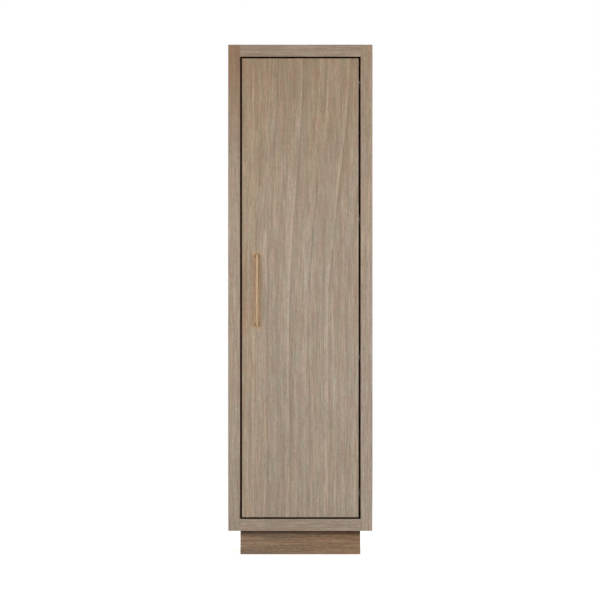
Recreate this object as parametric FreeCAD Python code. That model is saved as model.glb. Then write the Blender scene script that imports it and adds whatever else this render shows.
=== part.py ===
import FreeCAD
import Part
import math
import os
from FreeCAD import Vector

# Tall storage cabinet: a framed case on a recessed plinth, one inset door on four concealed hinges and
# five loose shelves. Millimetres. X runs across the front to the right, Y into the case, Z up.
# The origin is the centre of the bottom of the box around the cabinet, pull included.

# Case
WIDTH = 610.0
CASE_HEIGHT = 2055.0
DEPTH = 533.0
PANEL_T = 19.0
BACK_T = 6.0
BACK_LAP = 9.0
BACK_PLAY = 0.5
ARRIS = 1.0

# Front frame
FACE = 51.0
FRAME_T = 24.0

# Plinth
PLINTH_HEIGHT = 102.0
PLINTH_T = 18.0
PLINTH_SIDE_SETBACK = 51.0
PLINTH_FRONT_SETBACK = 51.0
PLINTH_REAR_SETBACK = 40.0
BLOCK_SIZE = 42.0
BLOCK_HEIGHT = 60.0

# Door
DOOR_GAP = 7.0
DOOR_T = 22.0
LIPPING_T = 2.0

# Pull
PULL_LENGTH = 304.0
PULL_CENTRES = 288.0
PULL_D = 10.0
PULL_STANDOFF = 27.0
PULL_INSET = 64.0
PULL_DROP = 10.0
POST_D = 8.0
PULL_SCREW_D = 4.0
PULL_SCREW_HEAD_D = 8.0
PULL_SCREW_HEAD_H = 2.4
PULL_SCREW_BITE = 12.0

# Shelves and their supports
SHELF_COUNT = 5
SHELF_T = 18.0
SHELF_SIDE_PLAY = 1.0
SHELF_REAR_PLAY = 3.0
SHELF_SETBACK = 98.0
HOLE_PITCH = 32.0
FIRST_SHELF_PITCHES = 12
SHELF_PITCHES = 10
SPARE_HOLES = 1
SUPPORT_D = 5.0
SUPPORT_DEPTH = 9.0
SUPPORT_INSET = 50.0
SUPPORT_WIDTH = 10.0
LEDGE_T = 2.5
LEDGE_REACH = 10.0
SUPPORT_PLATE_T = 2.0
SUPPORT_DROP = 5.5

# Strips behind the frame
STRIP_DEPTH = 70.0
STOP_T = 15.0
STOP_LIP = 15.0
BUMPER_D = 8.0
BUMPER_PLAY = 0.2
BUMPER_END = 260.0

# Wall fixing
ANCHOR_HEIGHT = 80.0
ANCHOR_T = 18.0
ANCHOR_CENTRES = 406.4
ANCHOR_HOLE_D = 7.0

# Joints between boards, and screws
TENON_T = 9.0
TENON_LENGTH = 24.0
TENON_SHOULDER = 9.0
TONGUE_T = 9.0
TONGUE_LENGTH = 8.0
TONGUE_SETBACK = 16.0
JOINT_PLAY = 0.1
END_ROOM = 1.0
FIT = 0.05
SMALL_SIDES = 8
CUP_SIDES = 24
SCREW_D = 3.5
SCREW_HEAD_D = 7.0
SCREW_HEAD_H = 2.2
BACK_SCREW_LENGTH = 20.0
BACK_SCREW_END = 90.0
BACK_SCREWS = 4
PLINTH_SCREW_D = 4.5
PLINTH_SCREW_LENGTH = 42.0
PLINTH_SCREW_BITE = 12.0
PLINTH_SCREW_HEAD_D = 9.0
POCKET_D = 12.0

# Concealed hinges
HINGE_COUNT = 4
HINGE_END = 99.0
DOOR_TURN = 95.0
CUP_D = 35.0
CUP_EDGE = 21.5
CUP_DEPTH = 13.0
CUP_WALL = 1.2
CUP_FLOOR = 0.8
CUP_FIT = 0.1
FLANGE_T = 1.2
FLANGE_WIDTH = 22.0
FLANGE_D = 36.6
CUP_SCREW_SPAN = 48.0
CUP_SCREW_OFFSET = 6.0
CUP_SCREW_LENGTH = 14.0
LUG_T = 2.0
LUG_GAP = 6.3
PIN_D = 2.5
EYE_WALL = 0.75
NOSE_WALL = 1.4
LINK_T = 1.5
LINK_STATIONS = 5
CARRIER_HALF = 3.0
STRAP_IN = 3.3
STRAP_T = 1.2
CHEEK_IN = 4.8
CHEEK_T = 1.2
POLE = (14.12, 10.06)
CARRIER_PIN = (10.39, 4.1)
CARRIER_REACH = 35.68
CARRIER_BOW = 8.2
STRAP_PIN = (7.28, 9.8)
STRAP_REACH = 29.9
STRAP_BOW = 7.7
PLATE_V = 66.0
PLATE_LENGTH = 44.0
PLATE_FOOT_WIDTH = 52.0
PLATE_FOOT_LENGTH = 22.0
PLATE_FOOT_T = 1.8
PLATE_HEIGHT = 12.0
PLATE_SCREW_SPAN = 32.0
PLATE_SCREW_LENGTH = 16.0
ARM_WEB_T = 1.4
ARM_PLAY = 0.2
CLAMP_SCREW_D = 5.0
CLAMP_HEAD_D = 8.0
CLAMP_HEAD_H = 2.0

# Levels and planes that follow from the sizes
PULL_PROJECTION = PULL_STANDOFF + PULL_D / 2
FRONT = (PULL_PROJECTION - DEPTH) / 2
REAR = FRONT + DEPTH
BASE = PLINTH_HEIGHT
TOP = BASE + CASE_HEIGHT
OPEN_X = WIDTH / 2 - FACE
OPEN_LOW = BASE + FACE
OPEN_HIGH = TOP - FACE
INNER_X = WIDTH / 2 - PANEL_T
BOARD_Y = FRONT + FRAME_T
BACK_Y = REAR - BACK_T
FLOOR = BASE + PANEL_T
CEILING = TOP - PANEL_T
DOOR_X = OPEN_X - DOOR_GAP
DOOR_LOW = OPEN_LOW + DOOR_GAP
DOOR_HIGH = OPEN_HIGH - DOOR_GAP
DOOR_BACK = FRONT + DOOR_T
PULL_X = PULL_INSET - DOOR_X
PULL_Z = (DOOR_LOW + DOOR_HIGH) / 2 - PULL_DROP
SHELF_FRONT = FRONT + SHELF_SETBACK
SHELF_REAR = BACK_Y - SHELF_REAR_PLAY
CUP_U = -DOOR_GAP - CUP_EDGE
X_AXIS = Vector(1, 0, 0)
Y_AXIS = Vector(0, 1, 0)
Z_AXIS = Vector(0, 0, 1)


def box(x0, x1, y0, y1, z0, z1):
    """Block between two X, two Y and two Z planes, each pair in either order."""
    size = (abs(x1 - x0), abs(y1 - y0), abs(z1 - z0))
    return Part.makeBox(*size, Vector(min(x0, x1), min(y0, y1), min(z0, z1)))


def rod(diameter, start, end):
    """Round rod between two points."""
    line = end - start
    return Part.makeCylinder(diameter / 2, line.Length, start, line)


def faceted(radius, start, end, sides=SMALL_SIDES):
    """Rod with flat sides and its corners at the radius."""
    line = end - start
    turn = FreeCAD.Rotation(Z_AXIS, line)
    angles = [2 * math.pi * (i + 0.5) / sides for i in range(sides)]
    corners = [start + turn.multVec(Vector(math.cos(a), math.sin(a), 0) * radius) for a in angles]
    return Part.Face(Part.makePolygon(corners + corners[:1])).extrude(line)


def peg(diameter, start, end):
    """Small pin or screw shank, inside its nominal circle."""
    return faceted(diameter / 2, start, end)


def socket(diameter, start, end):
    """Hole for a peg, outside the peg's circle by the fit."""
    return faceted((diameter / 2 + FIT) / math.cos(math.pi / SMALL_SIDES), start, end)


def bore(diameter, start, end):
    """Wide hole with flat sides outside its circle."""
    return faceted(diameter / 2 / math.cos(math.pi / CUP_SIDES), start, end, CUP_SIDES)


def screw(diameter, head_d, head_h, seat, tip):
    """Screw with its head on a seat."""
    out = (seat - tip).normalize()
    return peg(head_d, seat, seat + out * head_h).fuse(peg(diameter, seat, tip))


def screw_hole(diameter, seat, tip):
    """Hole for a screw, a little longer at both ends."""
    out = (seat - tip).normalize() * END_ROOM
    return socket(diameter, seat + out, tip - out)


def mirrored(shape):
    """The same piece on the other side of the cabinet."""
    return shape.mirror(Vector(0, 0, 0), X_AXIS)


def on_both_sides(shapes):
    """Each piece and its mirror image."""
    return shapes + [mirrored(s) for s in shapes]


def drilled(board, tools):
    """A board with every tool cut away."""
    return board.cut(Part.makeCompound(tools)) if tools else board


def front_edge_at(z):
    """Test for the long front edge of a cross member at a level."""
    return lambda b: b.YMax < FRONT + 0.01 and abs(b.ZMin - z) + abs(b.ZMax - z) < 0.01


def eased(board, chosen):
    """A board with its chosen edges rounded to the arris."""
    edges = [e for e in board.Edges if chosen(e.BoundBox)]
    return board.makeFillet(ARRIS, edges)


def spaced(first, last, count):
    """Evenly spaced positions with both ends."""
    if count < 2:
        return [(first + last) / 2]
    step = (last - first) / (count - 1)
    return [first + step * i for i in range(count)]


# Positions of screws, shelves and hinges

def back_screw_spots():
    """Z of the back panel's screws along a side."""
    return spaced(BASE + BACK_SCREW_END, TOP - BACK_SCREW_END, BACK_SCREWS)


def shelf_levels():
    """Z of each shelf's underside."""
    first = FLOOR + FIRST_SHELF_PITCHES * HOLE_PITCH
    return [first + i * SHELF_PITCHES * HOLE_PITCH for i in range(SHELF_COUNT)]


def support_rows():
    """Y of the two rows of shelf supports."""
    return (SHELF_FRONT + SUPPORT_INSET, SHELF_REAR - SUPPORT_INSET)


def hinge_levels():
    """Z of each hinge."""
    return spaced(DOOR_LOW + HINGE_END, DOOR_HIGH - HINGE_END, HINGE_COUNT)


def anchor_spots():
    """X of the wall screws' holes."""
    return (-ANCHOR_CENTRES / 2, ANCHOR_CENTRES / 2)


# Case

def back_screw(z):
    """Screw through the back panel's right edge, with its head let in."""
    x = INNER_X + BACK_LAP / 2
    return screw(SCREW_D, SCREW_HEAD_D, SCREW_HEAD_H, Vector(x, REAR - SCREW_HEAD_H, z),
                 Vector(x, REAR - BACK_SCREW_LENGTH, z))


def back_screw_hole(z):
    """Hole for a back screw and its head."""
    x = INNER_X + BACK_LAP / 2
    seat = Vector(x, REAR - SCREW_HEAD_H, z)
    hole = screw_hole(SCREW_D, seat, Vector(x, REAR - BACK_SCREW_LENGTH, z))
    return hole.fuse(socket(SCREW_HEAD_D, seat, Vector(x, REAR + END_ROOM, z)))


def tongue(z, play=0.0):
    """Tongue on the right end of the top or bottom panel, or with play its groove."""
    half = TONGUE_T / 2 + play
    end = INNER_X + TONGUE_LENGTH + (END_ROOM if play else 0.0)
    y0 = BOARD_Y + TONGUE_SETBACK - play
    y1 = BACK_Y - TONGUE_SETBACK + play
    return box(INNER_X, end, y0, y1, z - half, z + half)


def tenon(z, play=0.0):
    """Tenon on the right end of a rail, or with play its mortise."""
    wide = TENON_T / 2 + play
    high = FACE / 2 - TENON_SHOULDER + play
    end = OPEN_X + TENON_LENGTH + (END_ROOM if play else 0.0)
    y = FRONT + FRAME_T / 2
    return box(OPEN_X, end, y - wide, y + wide, z - high, z + high)


def support_holes():
    """Rows of holes in the right side round each shelf's own pair."""
    holes = []
    for level in shelf_levels():
        for k in range(-SPARE_HOLES, SPARE_HOLES + 1):
            z = level - SUPPORT_DROP + k * HOLE_PITCH
            for y in support_rows():
                start = Vector(INNER_X - END_ROOM, y, z)
                holes.append(socket(SUPPORT_D, start, Vector(INNER_X + SUPPORT_DEPTH + END_ROOM, y, z)))
    return holes


def side_panel():
    """Right side of the case, rebated for the back panel."""
    board = box(INNER_X, WIDTH / 2, BOARD_Y, REAR, BASE, TOP)
    lap = BACK_LAP + BACK_PLAY
    rebate = box(INNER_X - 1, INNER_X + lap, BACK_Y, REAR + 1, FLOOR - lap, CEILING + lap)
    tools = [rebate] + support_holes()
    tools += [tongue(z, JOINT_PLAY) for z in (BASE + PANEL_T / 2, TOP - PANEL_T / 2)]
    tools += [back_screw_hole(z) for z in back_screw_spots()]
    return drilled(board, tools)


def cross_panel(z0, z1, inner_z):
    """Top or bottom panel between the sides, rebated on its inner face for the back panel."""
    board = box(-INNER_X, INNER_X, BOARD_Y, REAR, z0, z1)
    lap = BACK_LAP + BACK_PLAY
    into = inner_z + math.copysign(lap, (z0 + z1) / 2 - inner_z)
    rebate = box(-INNER_X - 1, INNER_X + 1, BACK_Y, REAR + 1, inner_z, into)
    return board.cut(rebate).fuse(on_both_sides([tongue((z0 + z1) / 2)])).removeSplitter()


def bottom_panel():
    """Bottom panel with the plinth screws' pilot holes."""
    holes = on_both_sides([plinth_screw_hole(x, y) for x, y in block_spots()])
    return drilled(cross_panel(BASE, FLOOR, FLOOR), holes)


def back_panel():
    """Thin back in the rebates, drilled for its screws and for the wall screws."""
    x = INNER_X + BACK_LAP
    sheet = box(-x, x, BACK_Y, REAR, FLOOR - BACK_LAP, CEILING + BACK_LAP)
    tools = on_both_sides([back_screw_hole(z) for z in back_screw_spots()])
    return drilled(sheet, tools + anchor_holes())


def anchor_rail():
    """Rail under the top panel that the wall screws pass through."""
    rail = box(-INNER_X, INNER_X, BACK_Y - ANCHOR_T, BACK_Y, CEILING - ANCHOR_HEIGHT, CEILING)
    return drilled(rail, anchor_holes())


def anchor_holes():
    """Holes for two screws into a wall, through the rail and the back."""
    z = CEILING - ANCHOR_HEIGHT / 2
    y = BACK_Y - ANCHOR_T - END_ROOM
    return [rod(ANCHOR_HOLE_D, Vector(x, y, z), Vector(x, REAR + END_ROOM, z)) for x in anchor_spots()]


# Front frame and the strips behind it

def stile():
    """Right upright of the front frame."""
    board = box(OPEN_X, WIDTH / 2, FRONT, BOARD_Y, BASE, TOP)
    board = eased(board, lambda b: b.YMax < FRONT + 0.01 and not b.XMax < OPEN_X + 0.01)
    return drilled(board, [tenon(z, JOINT_PLAY) for z in (BASE + FACE / 2, TOP - FACE / 2)])


def rail(z0, z1, outer_z):
    """Cross member of the front frame."""
    board = box(-OPEN_X, OPEN_X, FRONT, BOARD_Y, z0, z1)
    board = eased(board, front_edge_at(outer_z))
    return board.fuse(on_both_sides([tenon((z0 + z1) / 2)]))


def hinge_strip():
    """Filler behind the right stile, flush with the opening, that the hinge plates are screwed to."""
    strip = box(OPEN_X, INNER_X, BOARD_Y, BOARD_Y + STRIP_DEPTH, FLOOR, CEILING)
    return drilled(strip, at_each_hinge(plate_screw_holes()))


def door_stop():
    """Strip behind the left stile that stands into the opening and stops the door."""
    return box(-INNER_X, STOP_LIP - OPEN_X, BOARD_Y, BOARD_Y + STOP_T, FLOOR, CEILING)


def bumpers():
    """Soft pads on the stop where the closed door's corners meet it."""
    x = STOP_LIP / 2 + DOOR_GAP / 2 - OPEN_X
    pads = []
    for z in (OPEN_LOW + BUMPER_END, OPEN_HIGH - BUMPER_END):
        foot = Vector(x, BOARD_Y, z)
        tip = Vector(x, DOOR_BACK + BUMPER_PLAY, z)
        pads.append(peg(BUMPER_D, foot, tip))
    return pads


# Plinth

def plinth_planes():
    """X of the plinth's side, Y of its front and Y of its rear."""
    return WIDTH / 2 - PLINTH_SIDE_SETBACK, FRONT + PLINTH_FRONT_SETBACK, REAR - PLINTH_REAR_SETBACK


def plinth_board(front):
    """Front or rear board of the plinth."""
    x, y0, y1 = plinth_planes()
    y = y0 if front else y1 - PLINTH_T
    return box(-x, x, y, y + PLINTH_T, 0, PLINTH_HEIGHT)


def plinth_side():
    """Right board of the plinth, between the front and the rear board."""
    x, y0, y1 = plinth_planes()
    return box(x - PLINTH_T, x, y0 + PLINTH_T, y1 - PLINTH_T, 0, PLINTH_HEIGHT)


def block_spots():
    """X and Y of the middle of the right-hand corner blocks."""
    x, y0, y1 = plinth_planes()
    reach = PLINTH_T + BLOCK_SIZE / 2
    return [(x - reach, y0 + reach), (x - reach, y1 - reach)]


def plinth_screw(x, y):
    """Screw up through a corner block into the bottom panel."""
    tip = BASE + PLINTH_SCREW_BITE
    return screw(PLINTH_SCREW_D, PLINTH_SCREW_HEAD_D, SCREW_HEAD_H, Vector(x, y, tip - PLINTH_SCREW_LENGTH),
                 Vector(x, y, tip))


def plinth_screw_hole(x, y):
    """Hole for a plinth screw."""
    tip = BASE + PLINTH_SCREW_BITE
    return screw_hole(PLINTH_SCREW_D, Vector(x, y, tip - PLINTH_SCREW_LENGTH), Vector(x, y, tip))


def corner_blocks():
    """Blocks glued into the plinth's corners, with a pocket for each screw's head."""
    blocks = []
    half = BLOCK_SIZE / 2
    seat = BASE + PLINTH_SCREW_BITE - PLINTH_SCREW_LENGTH
    for x, y in block_spots():
        block = box(x - half, x + half, y - half, y + half, BASE - BLOCK_HEIGHT, BASE)
        pocket = socket(POCKET_D, Vector(x, y, BASE - BLOCK_HEIGHT - END_ROOM), Vector(x, y, seat))
        blocks.append(drilled(block, [pocket, plinth_screw_hole(x, y)]))
    return on_both_sides(blocks)


# Shelves

def shelf(level):
    """Loose shelf with its front edge broken."""
    x = INNER_X - SHELF_SIDE_PLAY
    board = box(-x, x, SHELF_FRONT, SHELF_REAR, level, level + SHELF_T)
    front = [e for e in board.Edges if e.BoundBox.YMax < SHELF_FRONT + 0.01 and e.BoundBox.XLength > x]
    return board.makeChamfer(ARRIS, front)


def shelf_support(y, level):
    """Right-hand support: a stub in the side, a plate against it and a flat ledge under the shelf."""
    z = level - SUPPORT_DROP
    half = SUPPORT_WIDTH / 2
    stub = peg(SUPPORT_D, Vector(INNER_X - SUPPORT_PLATE_T, y, z), Vector(INNER_X + SUPPORT_DEPTH, y, z))
    plate = box(INNER_X - SUPPORT_PLATE_T, INNER_X, y - half, y + half, z - half, level)
    ledge = box(INNER_X - LEDGE_REACH, INNER_X, y - half, y + half, level - LEDGE_T, level)
    return plate.fuse([stub, ledge]).removeSplitter()


def shelf_supports():
    """Four supports under each shelf."""
    return on_both_sides([shelf_support(y, level) for level in shelf_levels() for y in support_rows()])


# Door

def door_panel():
    """Door's core, bored for the hinge cups and drilled for the cup screws and the pull's screws."""
    x = DOOR_X - LIPPING_T
    core = box(-x, x, FRONT, DOOR_BACK, DOOR_LOW + LIPPING_T, DOOR_HIGH - LIPPING_T)
    cup_bore = bore(CUP_D, plan(CUP_U, DOOR_T + END_ROOM), plan(CUP_U, DOOR_T - CUP_DEPTH))
    tools = at_each_hinge([cup_bore] + cup_screw_holes()) + [pull_screw_hole(z) for z in pull_levels()]
    return drilled(core, tools)


def lipping_upright():
    """Right-hand edge of the door."""
    strip = box(DOOR_X - LIPPING_T, DOOR_X, FRONT, DOOR_BACK, DOOR_LOW, DOOR_HIGH)
    return eased(strip, lambda b: b.YMax < FRONT + 0.01 and b.XMax > DOOR_X - 0.01)


def lipping_across(z0, z1, outer_z):
    """Top or bottom edge of the door, between the upright ones."""
    x = DOOR_X - LIPPING_T
    strip = box(-x, x, FRONT, DOOR_BACK, z0, z1)
    return eased(strip, front_edge_at(outer_z))


# Pull

def pull_levels():
    """Z of the pull's two posts."""
    return (PULL_Z - PULL_CENTRES / 2, PULL_Z + PULL_CENTRES / 2)


def pull_axis_y():
    """Y of the bar's axis."""
    return FRONT - PULL_STANDOFF


def pull_bar():
    """Round bar with chamfered ends."""
    y = pull_axis_y()
    low = Vector(PULL_X, y, PULL_Z - PULL_LENGTH / 2)
    bar = rod(PULL_D, low, low + Z_AXIS * PULL_LENGTH)
    return bar.makeChamfer(ARRIS, [e for e in bar.Edges if e.BoundBox.ZLength < 0.01])


def pull_screw_hole(z):
    """Hole through the door and into a post."""
    return screw_hole(PULL_SCREW_D, Vector(PULL_X, DOOR_BACK, z), Vector(PULL_X, FRONT - PULL_SCREW_BITE, z))


def pull_posts():
    """Posts coped to the bar, each tapped for its screw."""
    posts = []
    bar = rod(PULL_D, Vector(PULL_X, pull_axis_y(), DOOR_LOW), Vector(PULL_X, pull_axis_y(), DOOR_HIGH))
    for z in pull_levels():
        post = rod(POST_D, Vector(PULL_X, pull_axis_y(), z), Vector(PULL_X, FRONT, z))
        posts.append(post.cut(bar).cut(pull_screw_hole(z)))
    return posts


def pull_screws():
    """Screws from inside the door into the posts."""
    return [screw(PULL_SCREW_D, PULL_SCREW_HEAD_D, PULL_SCREW_HEAD_H, Vector(PULL_X, DOOR_BACK, z),
                  Vector(PULL_X, FRONT - PULL_SCREW_BITE, z)) for z in pull_levels()]


# Concealed hinges: plan coordinates (u, v) run right from the opening's right edge and in from the front

def plan(u, v, z=0.0):
    """Point at plan coordinates (u, v)."""
    return Vector(OPEN_X + u, FRONT + v, z)


def slab(points, z0, z1):
    """Straight-sided piece over plan points."""
    corners = [plan(u, v, z0) for u, v in points]
    return Part.Face(Part.makePolygon(corners + corners[:1])).extrude(Z_AXIS * (z1 - z0))


def at_each_hinge(shapes):
    """Copies of the pieces at every hinge."""
    return [s.translated(Z_AXIS * z) for z in hinge_levels() for s in shapes]


def pole():
    """Point of the door that is in the same place open and closed."""
    return (-DOOR_GAP - POLE[0], POLE[1])


def door_pin(offset):
    """Plan point of a hinge pin in the door, from the cup's axis and the door's back."""
    return (CUP_U + offset[0], DOOR_T - offset[1])


def arm_pin(pin, reach):
    """Fixed pivot whose link holds the door's pin in both the closed and the open place."""
    u, v = pole()
    angle = math.atan2(pin[1] - v, pin[0] - u) + math.radians(DOOR_TURN) / 2
    return (u + reach * math.cos(angle), v + reach * math.sin(angle))


def pins():
    """Plan points of the arm's and the door's pivot of the carrier link, then of the strap link."""
    carrier = door_pin(CARRIER_PIN)
    strap = door_pin(STRAP_PIN)
    return arm_pin(carrier, CARRIER_REACH), carrier, arm_pin(strap, STRAP_REACH), strap


def link_turn(pivot, pin):
    """Degrees that a link turns about its fixed pivot while the door opens."""
    u, v = pole()
    turn = math.radians(DOOR_TURN)
    du, dv = pin[0] - u, pin[1] - v
    end_u = u + du * math.cos(turn) - dv * math.sin(turn)
    end_v = v + du * math.sin(turn) + dv * math.cos(turn)
    start = math.atan2(pin[1] - pivot[1], pin[0] - pivot[0])
    return math.degrees(math.atan2(end_v - pivot[1], end_u - pivot[0]) - start)


def bowed_strip(a, b, bow, z0, z1):
    """Strip of link stock between two plan points, bowed to one side."""
    length = math.dist(a, b)
    side = ((b[1] - a[1]) / length, (a[0] - b[0]) / length)
    sides = ([], [])
    for i in range(LINK_STATIONS):
        t = i / (LINK_STATIONS - 1)
        lift = 4 * t * (1 - t) * bow
        slope = 4 * (1 - 2 * t) * bow
        run = (b[0] - a[0] + side[0] * slope, b[1] - a[1] + side[1] * slope)
        scale = LINK_T / 2 / math.hypot(*run)
        u = a[0] + (b[0] - a[0]) * t + side[0] * lift
        v = a[1] + (b[1] - a[1]) * t + side[1] * lift
        sides[0].append((u - run[1] * scale, v + run[0] * scale))
        sides[1].append((u + run[1] * scale, v - run[0] * scale))
    return slab(sides[0] + sides[1][::-1], z0, z1)


def eye(point, z0, z1):
    """Rolled eye round a pin."""
    return peg(PIN_D + 2 * (FIT + EYE_WALL), plan(*point, z0), plan(*point, z1))


def pin_hole(point, z0, z1):
    """Running hole for a pin."""
    return socket(PIN_D, plan(*point, z0 - END_ROOM), plan(*point, z1 + END_ROOM))


def carrier_link():
    """Link that carries the door: one wide strip with an eye at each end."""
    pivot, pin = pins()[:2]
    z = CARRIER_HALF
    strip = bowed_strip(pivot, pin, CARRIER_BOW, -z, z)
    body = strip.fuse([eye(pivot, -z, z), eye(pin, -z, z)])
    return body.cut(pin_hole(pivot, -z, z)).cut(pin_hole(pin, -z, z))


def strap_link():
    """Guiding link: two straps either side of the carrier, joined by the pin at their free end."""
    pivot, pin = pins()[2:]
    outer = STRAP_IN + STRAP_T
    parts = []
    for z0, z1 in ((-outer, -STRAP_IN), (STRAP_IN, outer)):
        strap = bowed_strip(pivot, pin, STRAP_BOW, z0, z1).fuse([eye(pivot, z0, z1), eye(pin, z0, z1)])
        parts.append(strap.cut(pin_hole(pivot, z0, z1)))
    return peg(PIN_D, plan(*pin, -outer), plan(*pin, outer)).fuse(parts)


def arm_outline():
    """Plan outline of the arm's cheek: its outside from the rear to the nose, the nose, and the way back."""
    carrier, _, strap, _ = pins()
    near = PIN_D / 2 + NOSE_WALL
    far = near + ARM_WEB_T
    rear = PLATE_V + PLATE_LENGTH / 2
    back = -PLATE_HEIGHT - ARM_PLAY - ARM_WEB_T
    bend = PLATE_V - CLAMP_HEAD_D / 2 - END_ROOM
    outside = [(back, rear), (back, bend)]
    outside += [(carrier[0] - far, carrier[1] + far), (carrier[0] - far, carrier[1] - near)]
    nose = [(strap[0] - near, strap[1] + near / 2), (strap[0] - near, strap[1] - near / 2)]
    nose += [(strap[0] - near / 2, strap[1] - near), (strap[0] + near / 2, strap[1] - near)]
    nose += [(strap[0] + near, strap[1] - near / 2), (strap[0] + near, strap[1] + near / 2)]
    inside = [(carrier[0] + far, carrier[1] - near), (back + 6, PLATE_V - PLATE_LENGTH / 2)]
    inside += [(-4, PLATE_V - 4), (-4, rear)]
    return outside, nose, inside


def wall(points, thickness, z0, z1):
    """Wall that follows plan points on its left side."""
    offset = []
    for i, (u, v) in enumerate(points):
        before = points[max(i - 1, 0)]
        after = points[min(i + 1, len(points) - 1)]
        a = math.atan2(v - before[1], u - before[0]) if i else None
        b = math.atan2(after[1] - v, after[0] - u) if i < len(points) - 1 else None
        a = b if a is None else a
        b = a if b is None else b
        middle = (a + b) / 2 + math.pi / 2
        reach = thickness / math.cos((b - a) / 2)
        offset.append((u + reach * math.cos(middle), v + reach * math.sin(middle)))
    return slab(points + offset[::-1], z0, z1)


def hinge_arm():
    """Cranked arm: two cheeks and a web along the outside, drilled for the pins and the clamp screw."""
    outside, nose, inside = arm_outline()
    outer = CHEEK_IN + CHEEK_T
    cheeks = [slab(outside + nose + inside, z0, z1) for z0, z1 in ((-outer, -CHEEK_IN), (CHEEK_IN, outer))]
    body = wall(outside, ARM_WEB_T, -outer, outer).fuse(cheeks).removeSplitter()
    carrier, _, strap, _ = pins()
    seat, tip = clamp_screw_ends()
    tools = [pin_hole(carrier, -outer, outer), pin_hole(strap, -outer, outer)]
    tools += [screw_hole(CLAMP_SCREW_D, seat, tip)]
    return body.cut(Part.makeCompound(tools))


def hinge_arm_pins():
    """Two pins through the arm's cheeks."""
    outer = CHEEK_IN + CHEEK_T
    carrier, _, strap, _ = pins()
    return [peg(PIN_D, plan(*p, -outer), plan(*p, outer)) for p in (carrier, strap)]


def hinge_plate():
    """Plate on the filler strip: a screwed foot and a raised channel that the arm sits over."""
    y = FRONT + PLATE_V
    long, wide, half = PLATE_FOOT_LENGTH / 2, PLATE_FOOT_WIDTH / 2, CHEEK_IN - ARM_PLAY
    foot = box(OPEN_X - PLATE_FOOT_T, OPEN_X, y - long, y + long, -wide, wide)
    corners = [e for e in foot.Edges if e.BoundBox.YLength < 0.01 and e.BoundBox.ZLength < 0.01]
    foot = foot.makeChamfer(PLATE_FOOT_LENGTH / 4, corners)
    block = box(OPEN_X - PLATE_HEIGHT, OPEN_X, y - PLATE_LENGTH / 2, y + PLATE_LENGTH / 2, -half, half)
    tools = [screw_hole(CLAMP_SCREW_D, *clamp_screw_ends())] + plate_screw_holes()
    return foot.fuse(block).removeSplitter().cut(Part.makeCompound(tools))


def plate_screw_ends():
    """Seat and tip of each screw through a plate's foot."""
    seats = [plan(-PLATE_FOOT_T, PLATE_V, z) for z in (-PLATE_SCREW_SPAN / 2, PLATE_SCREW_SPAN / 2)]
    return [(seat, seat + X_AXIS * PLATE_SCREW_LENGTH) for seat in seats]


def plate_screws():
    """Screws through a plate's foot into the filler strip."""
    return [screw(SCREW_D, SCREW_HEAD_D, SCREW_HEAD_H, *ends) for ends in plate_screw_ends()]


def plate_screw_holes():
    """Holes for a plate's screws."""
    return [screw_hole(SCREW_D, *ends) for ends in plate_screw_ends()]


def clamp_screw_ends():
    """Seat and tip of the screw that clamps the arm to the plate."""
    return plan(-PLATE_HEIGHT - ARM_PLAY - ARM_WEB_T, PLATE_V), plan(-2 * PLATE_FOOT_T - END_ROOM, PLATE_V)


def clamp_screw():
    """Screw that clamps the arm to the plate."""
    return screw(CLAMP_SCREW_D, CLAMP_HEAD_D, CLAMP_HEAD_H, *clamp_screw_ends())


def hinge_cup():
    """Cup in the door: a round pan, a two-eared flange on the door's back and two lugs for the pin."""
    floor = DOOR_T - CUP_DEPTH + CUP_FIT
    face = DOOR_T + FLANGE_T
    outer = CUP_D - 2 * CUP_FIT
    ear = CUP_SCREW_SPAN / 2 + FLANGE_WIDTH / 4
    low, high = CUP_U - CUP_SCREW_OFFSET - FLANGE_WIDTH / 2, CUP_U - CUP_SCREW_OFFSET + FLANGE_WIDTH / 2
    pan = faceted(outer / 2, plan(CUP_U, floor), plan(CUP_U, face), CUP_SIDES)
    disc = faceted(FLANGE_D / 2, plan(CUP_U, DOOR_T), plan(CUP_U, face), CUP_SIDES)
    wings = slab([(low, DOOR_T), (high, DOOR_T), (high, face), (low, face)], -ear, ear)
    wings = wings.makeChamfer(FLANGE_WIDTH / 4, [e for e in wings.Edges if e.BoundBox.YLength > FLANGE_T / 2])
    hollow = bore(outer - 2 * CUP_WALL, plan(CUP_U, floor + CUP_FLOOR), plan(CUP_U, face + END_ROOM))
    body = pan.fuse([disc, wings]).cut(hollow).fuse(cup_lugs())
    holes = [pin_hole(pins()[1], -LUG_GAP - LUG_T, LUG_GAP + LUG_T)] + cup_screw_holes()
    return body.cut(Part.makeCompound(holes))


def cup_lugs():
    """Lugs inside the cup that hold the carrier link's pin."""
    pin = pins()[1]
    half = PIN_D / 2 + 1.5
    low = DOOR_T - CUP_DEPTH + CUP_FIT + CUP_FLOOR
    left, right, high = pin[0] - half, pin[0] + half, pin[1] + half
    outline = [(left, low), (right, low), (right, high), (left, high)]
    return [slab(outline, s * LUG_GAP, s * (LUG_GAP + LUG_T)) for s in (-1, 1)]


def cup_pin():
    """Pin across the lugs that the door hangs on."""
    pin = pins()[1]
    half = LUG_GAP + LUG_T
    return peg(PIN_D, plan(*pin, -half), plan(*pin, half))


def cup_screw_ends():
    """Seat and tip of each screw through the flange's ears."""
    u, half = CUP_U - CUP_SCREW_OFFSET, CUP_SCREW_SPAN / 2
    seats = [plan(u, DOOR_T + FLANGE_T, z) for z in (-half, half)]
    return [(seat, seat - Y_AXIS * CUP_SCREW_LENGTH) for seat in seats]


def cup_screws():
    """Screws through the flange's ears into the door."""
    return [screw(SCREW_D, SCREW_HEAD_D, SCREW_HEAD_H, *ends) for ends in cup_screw_ends()]


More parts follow.
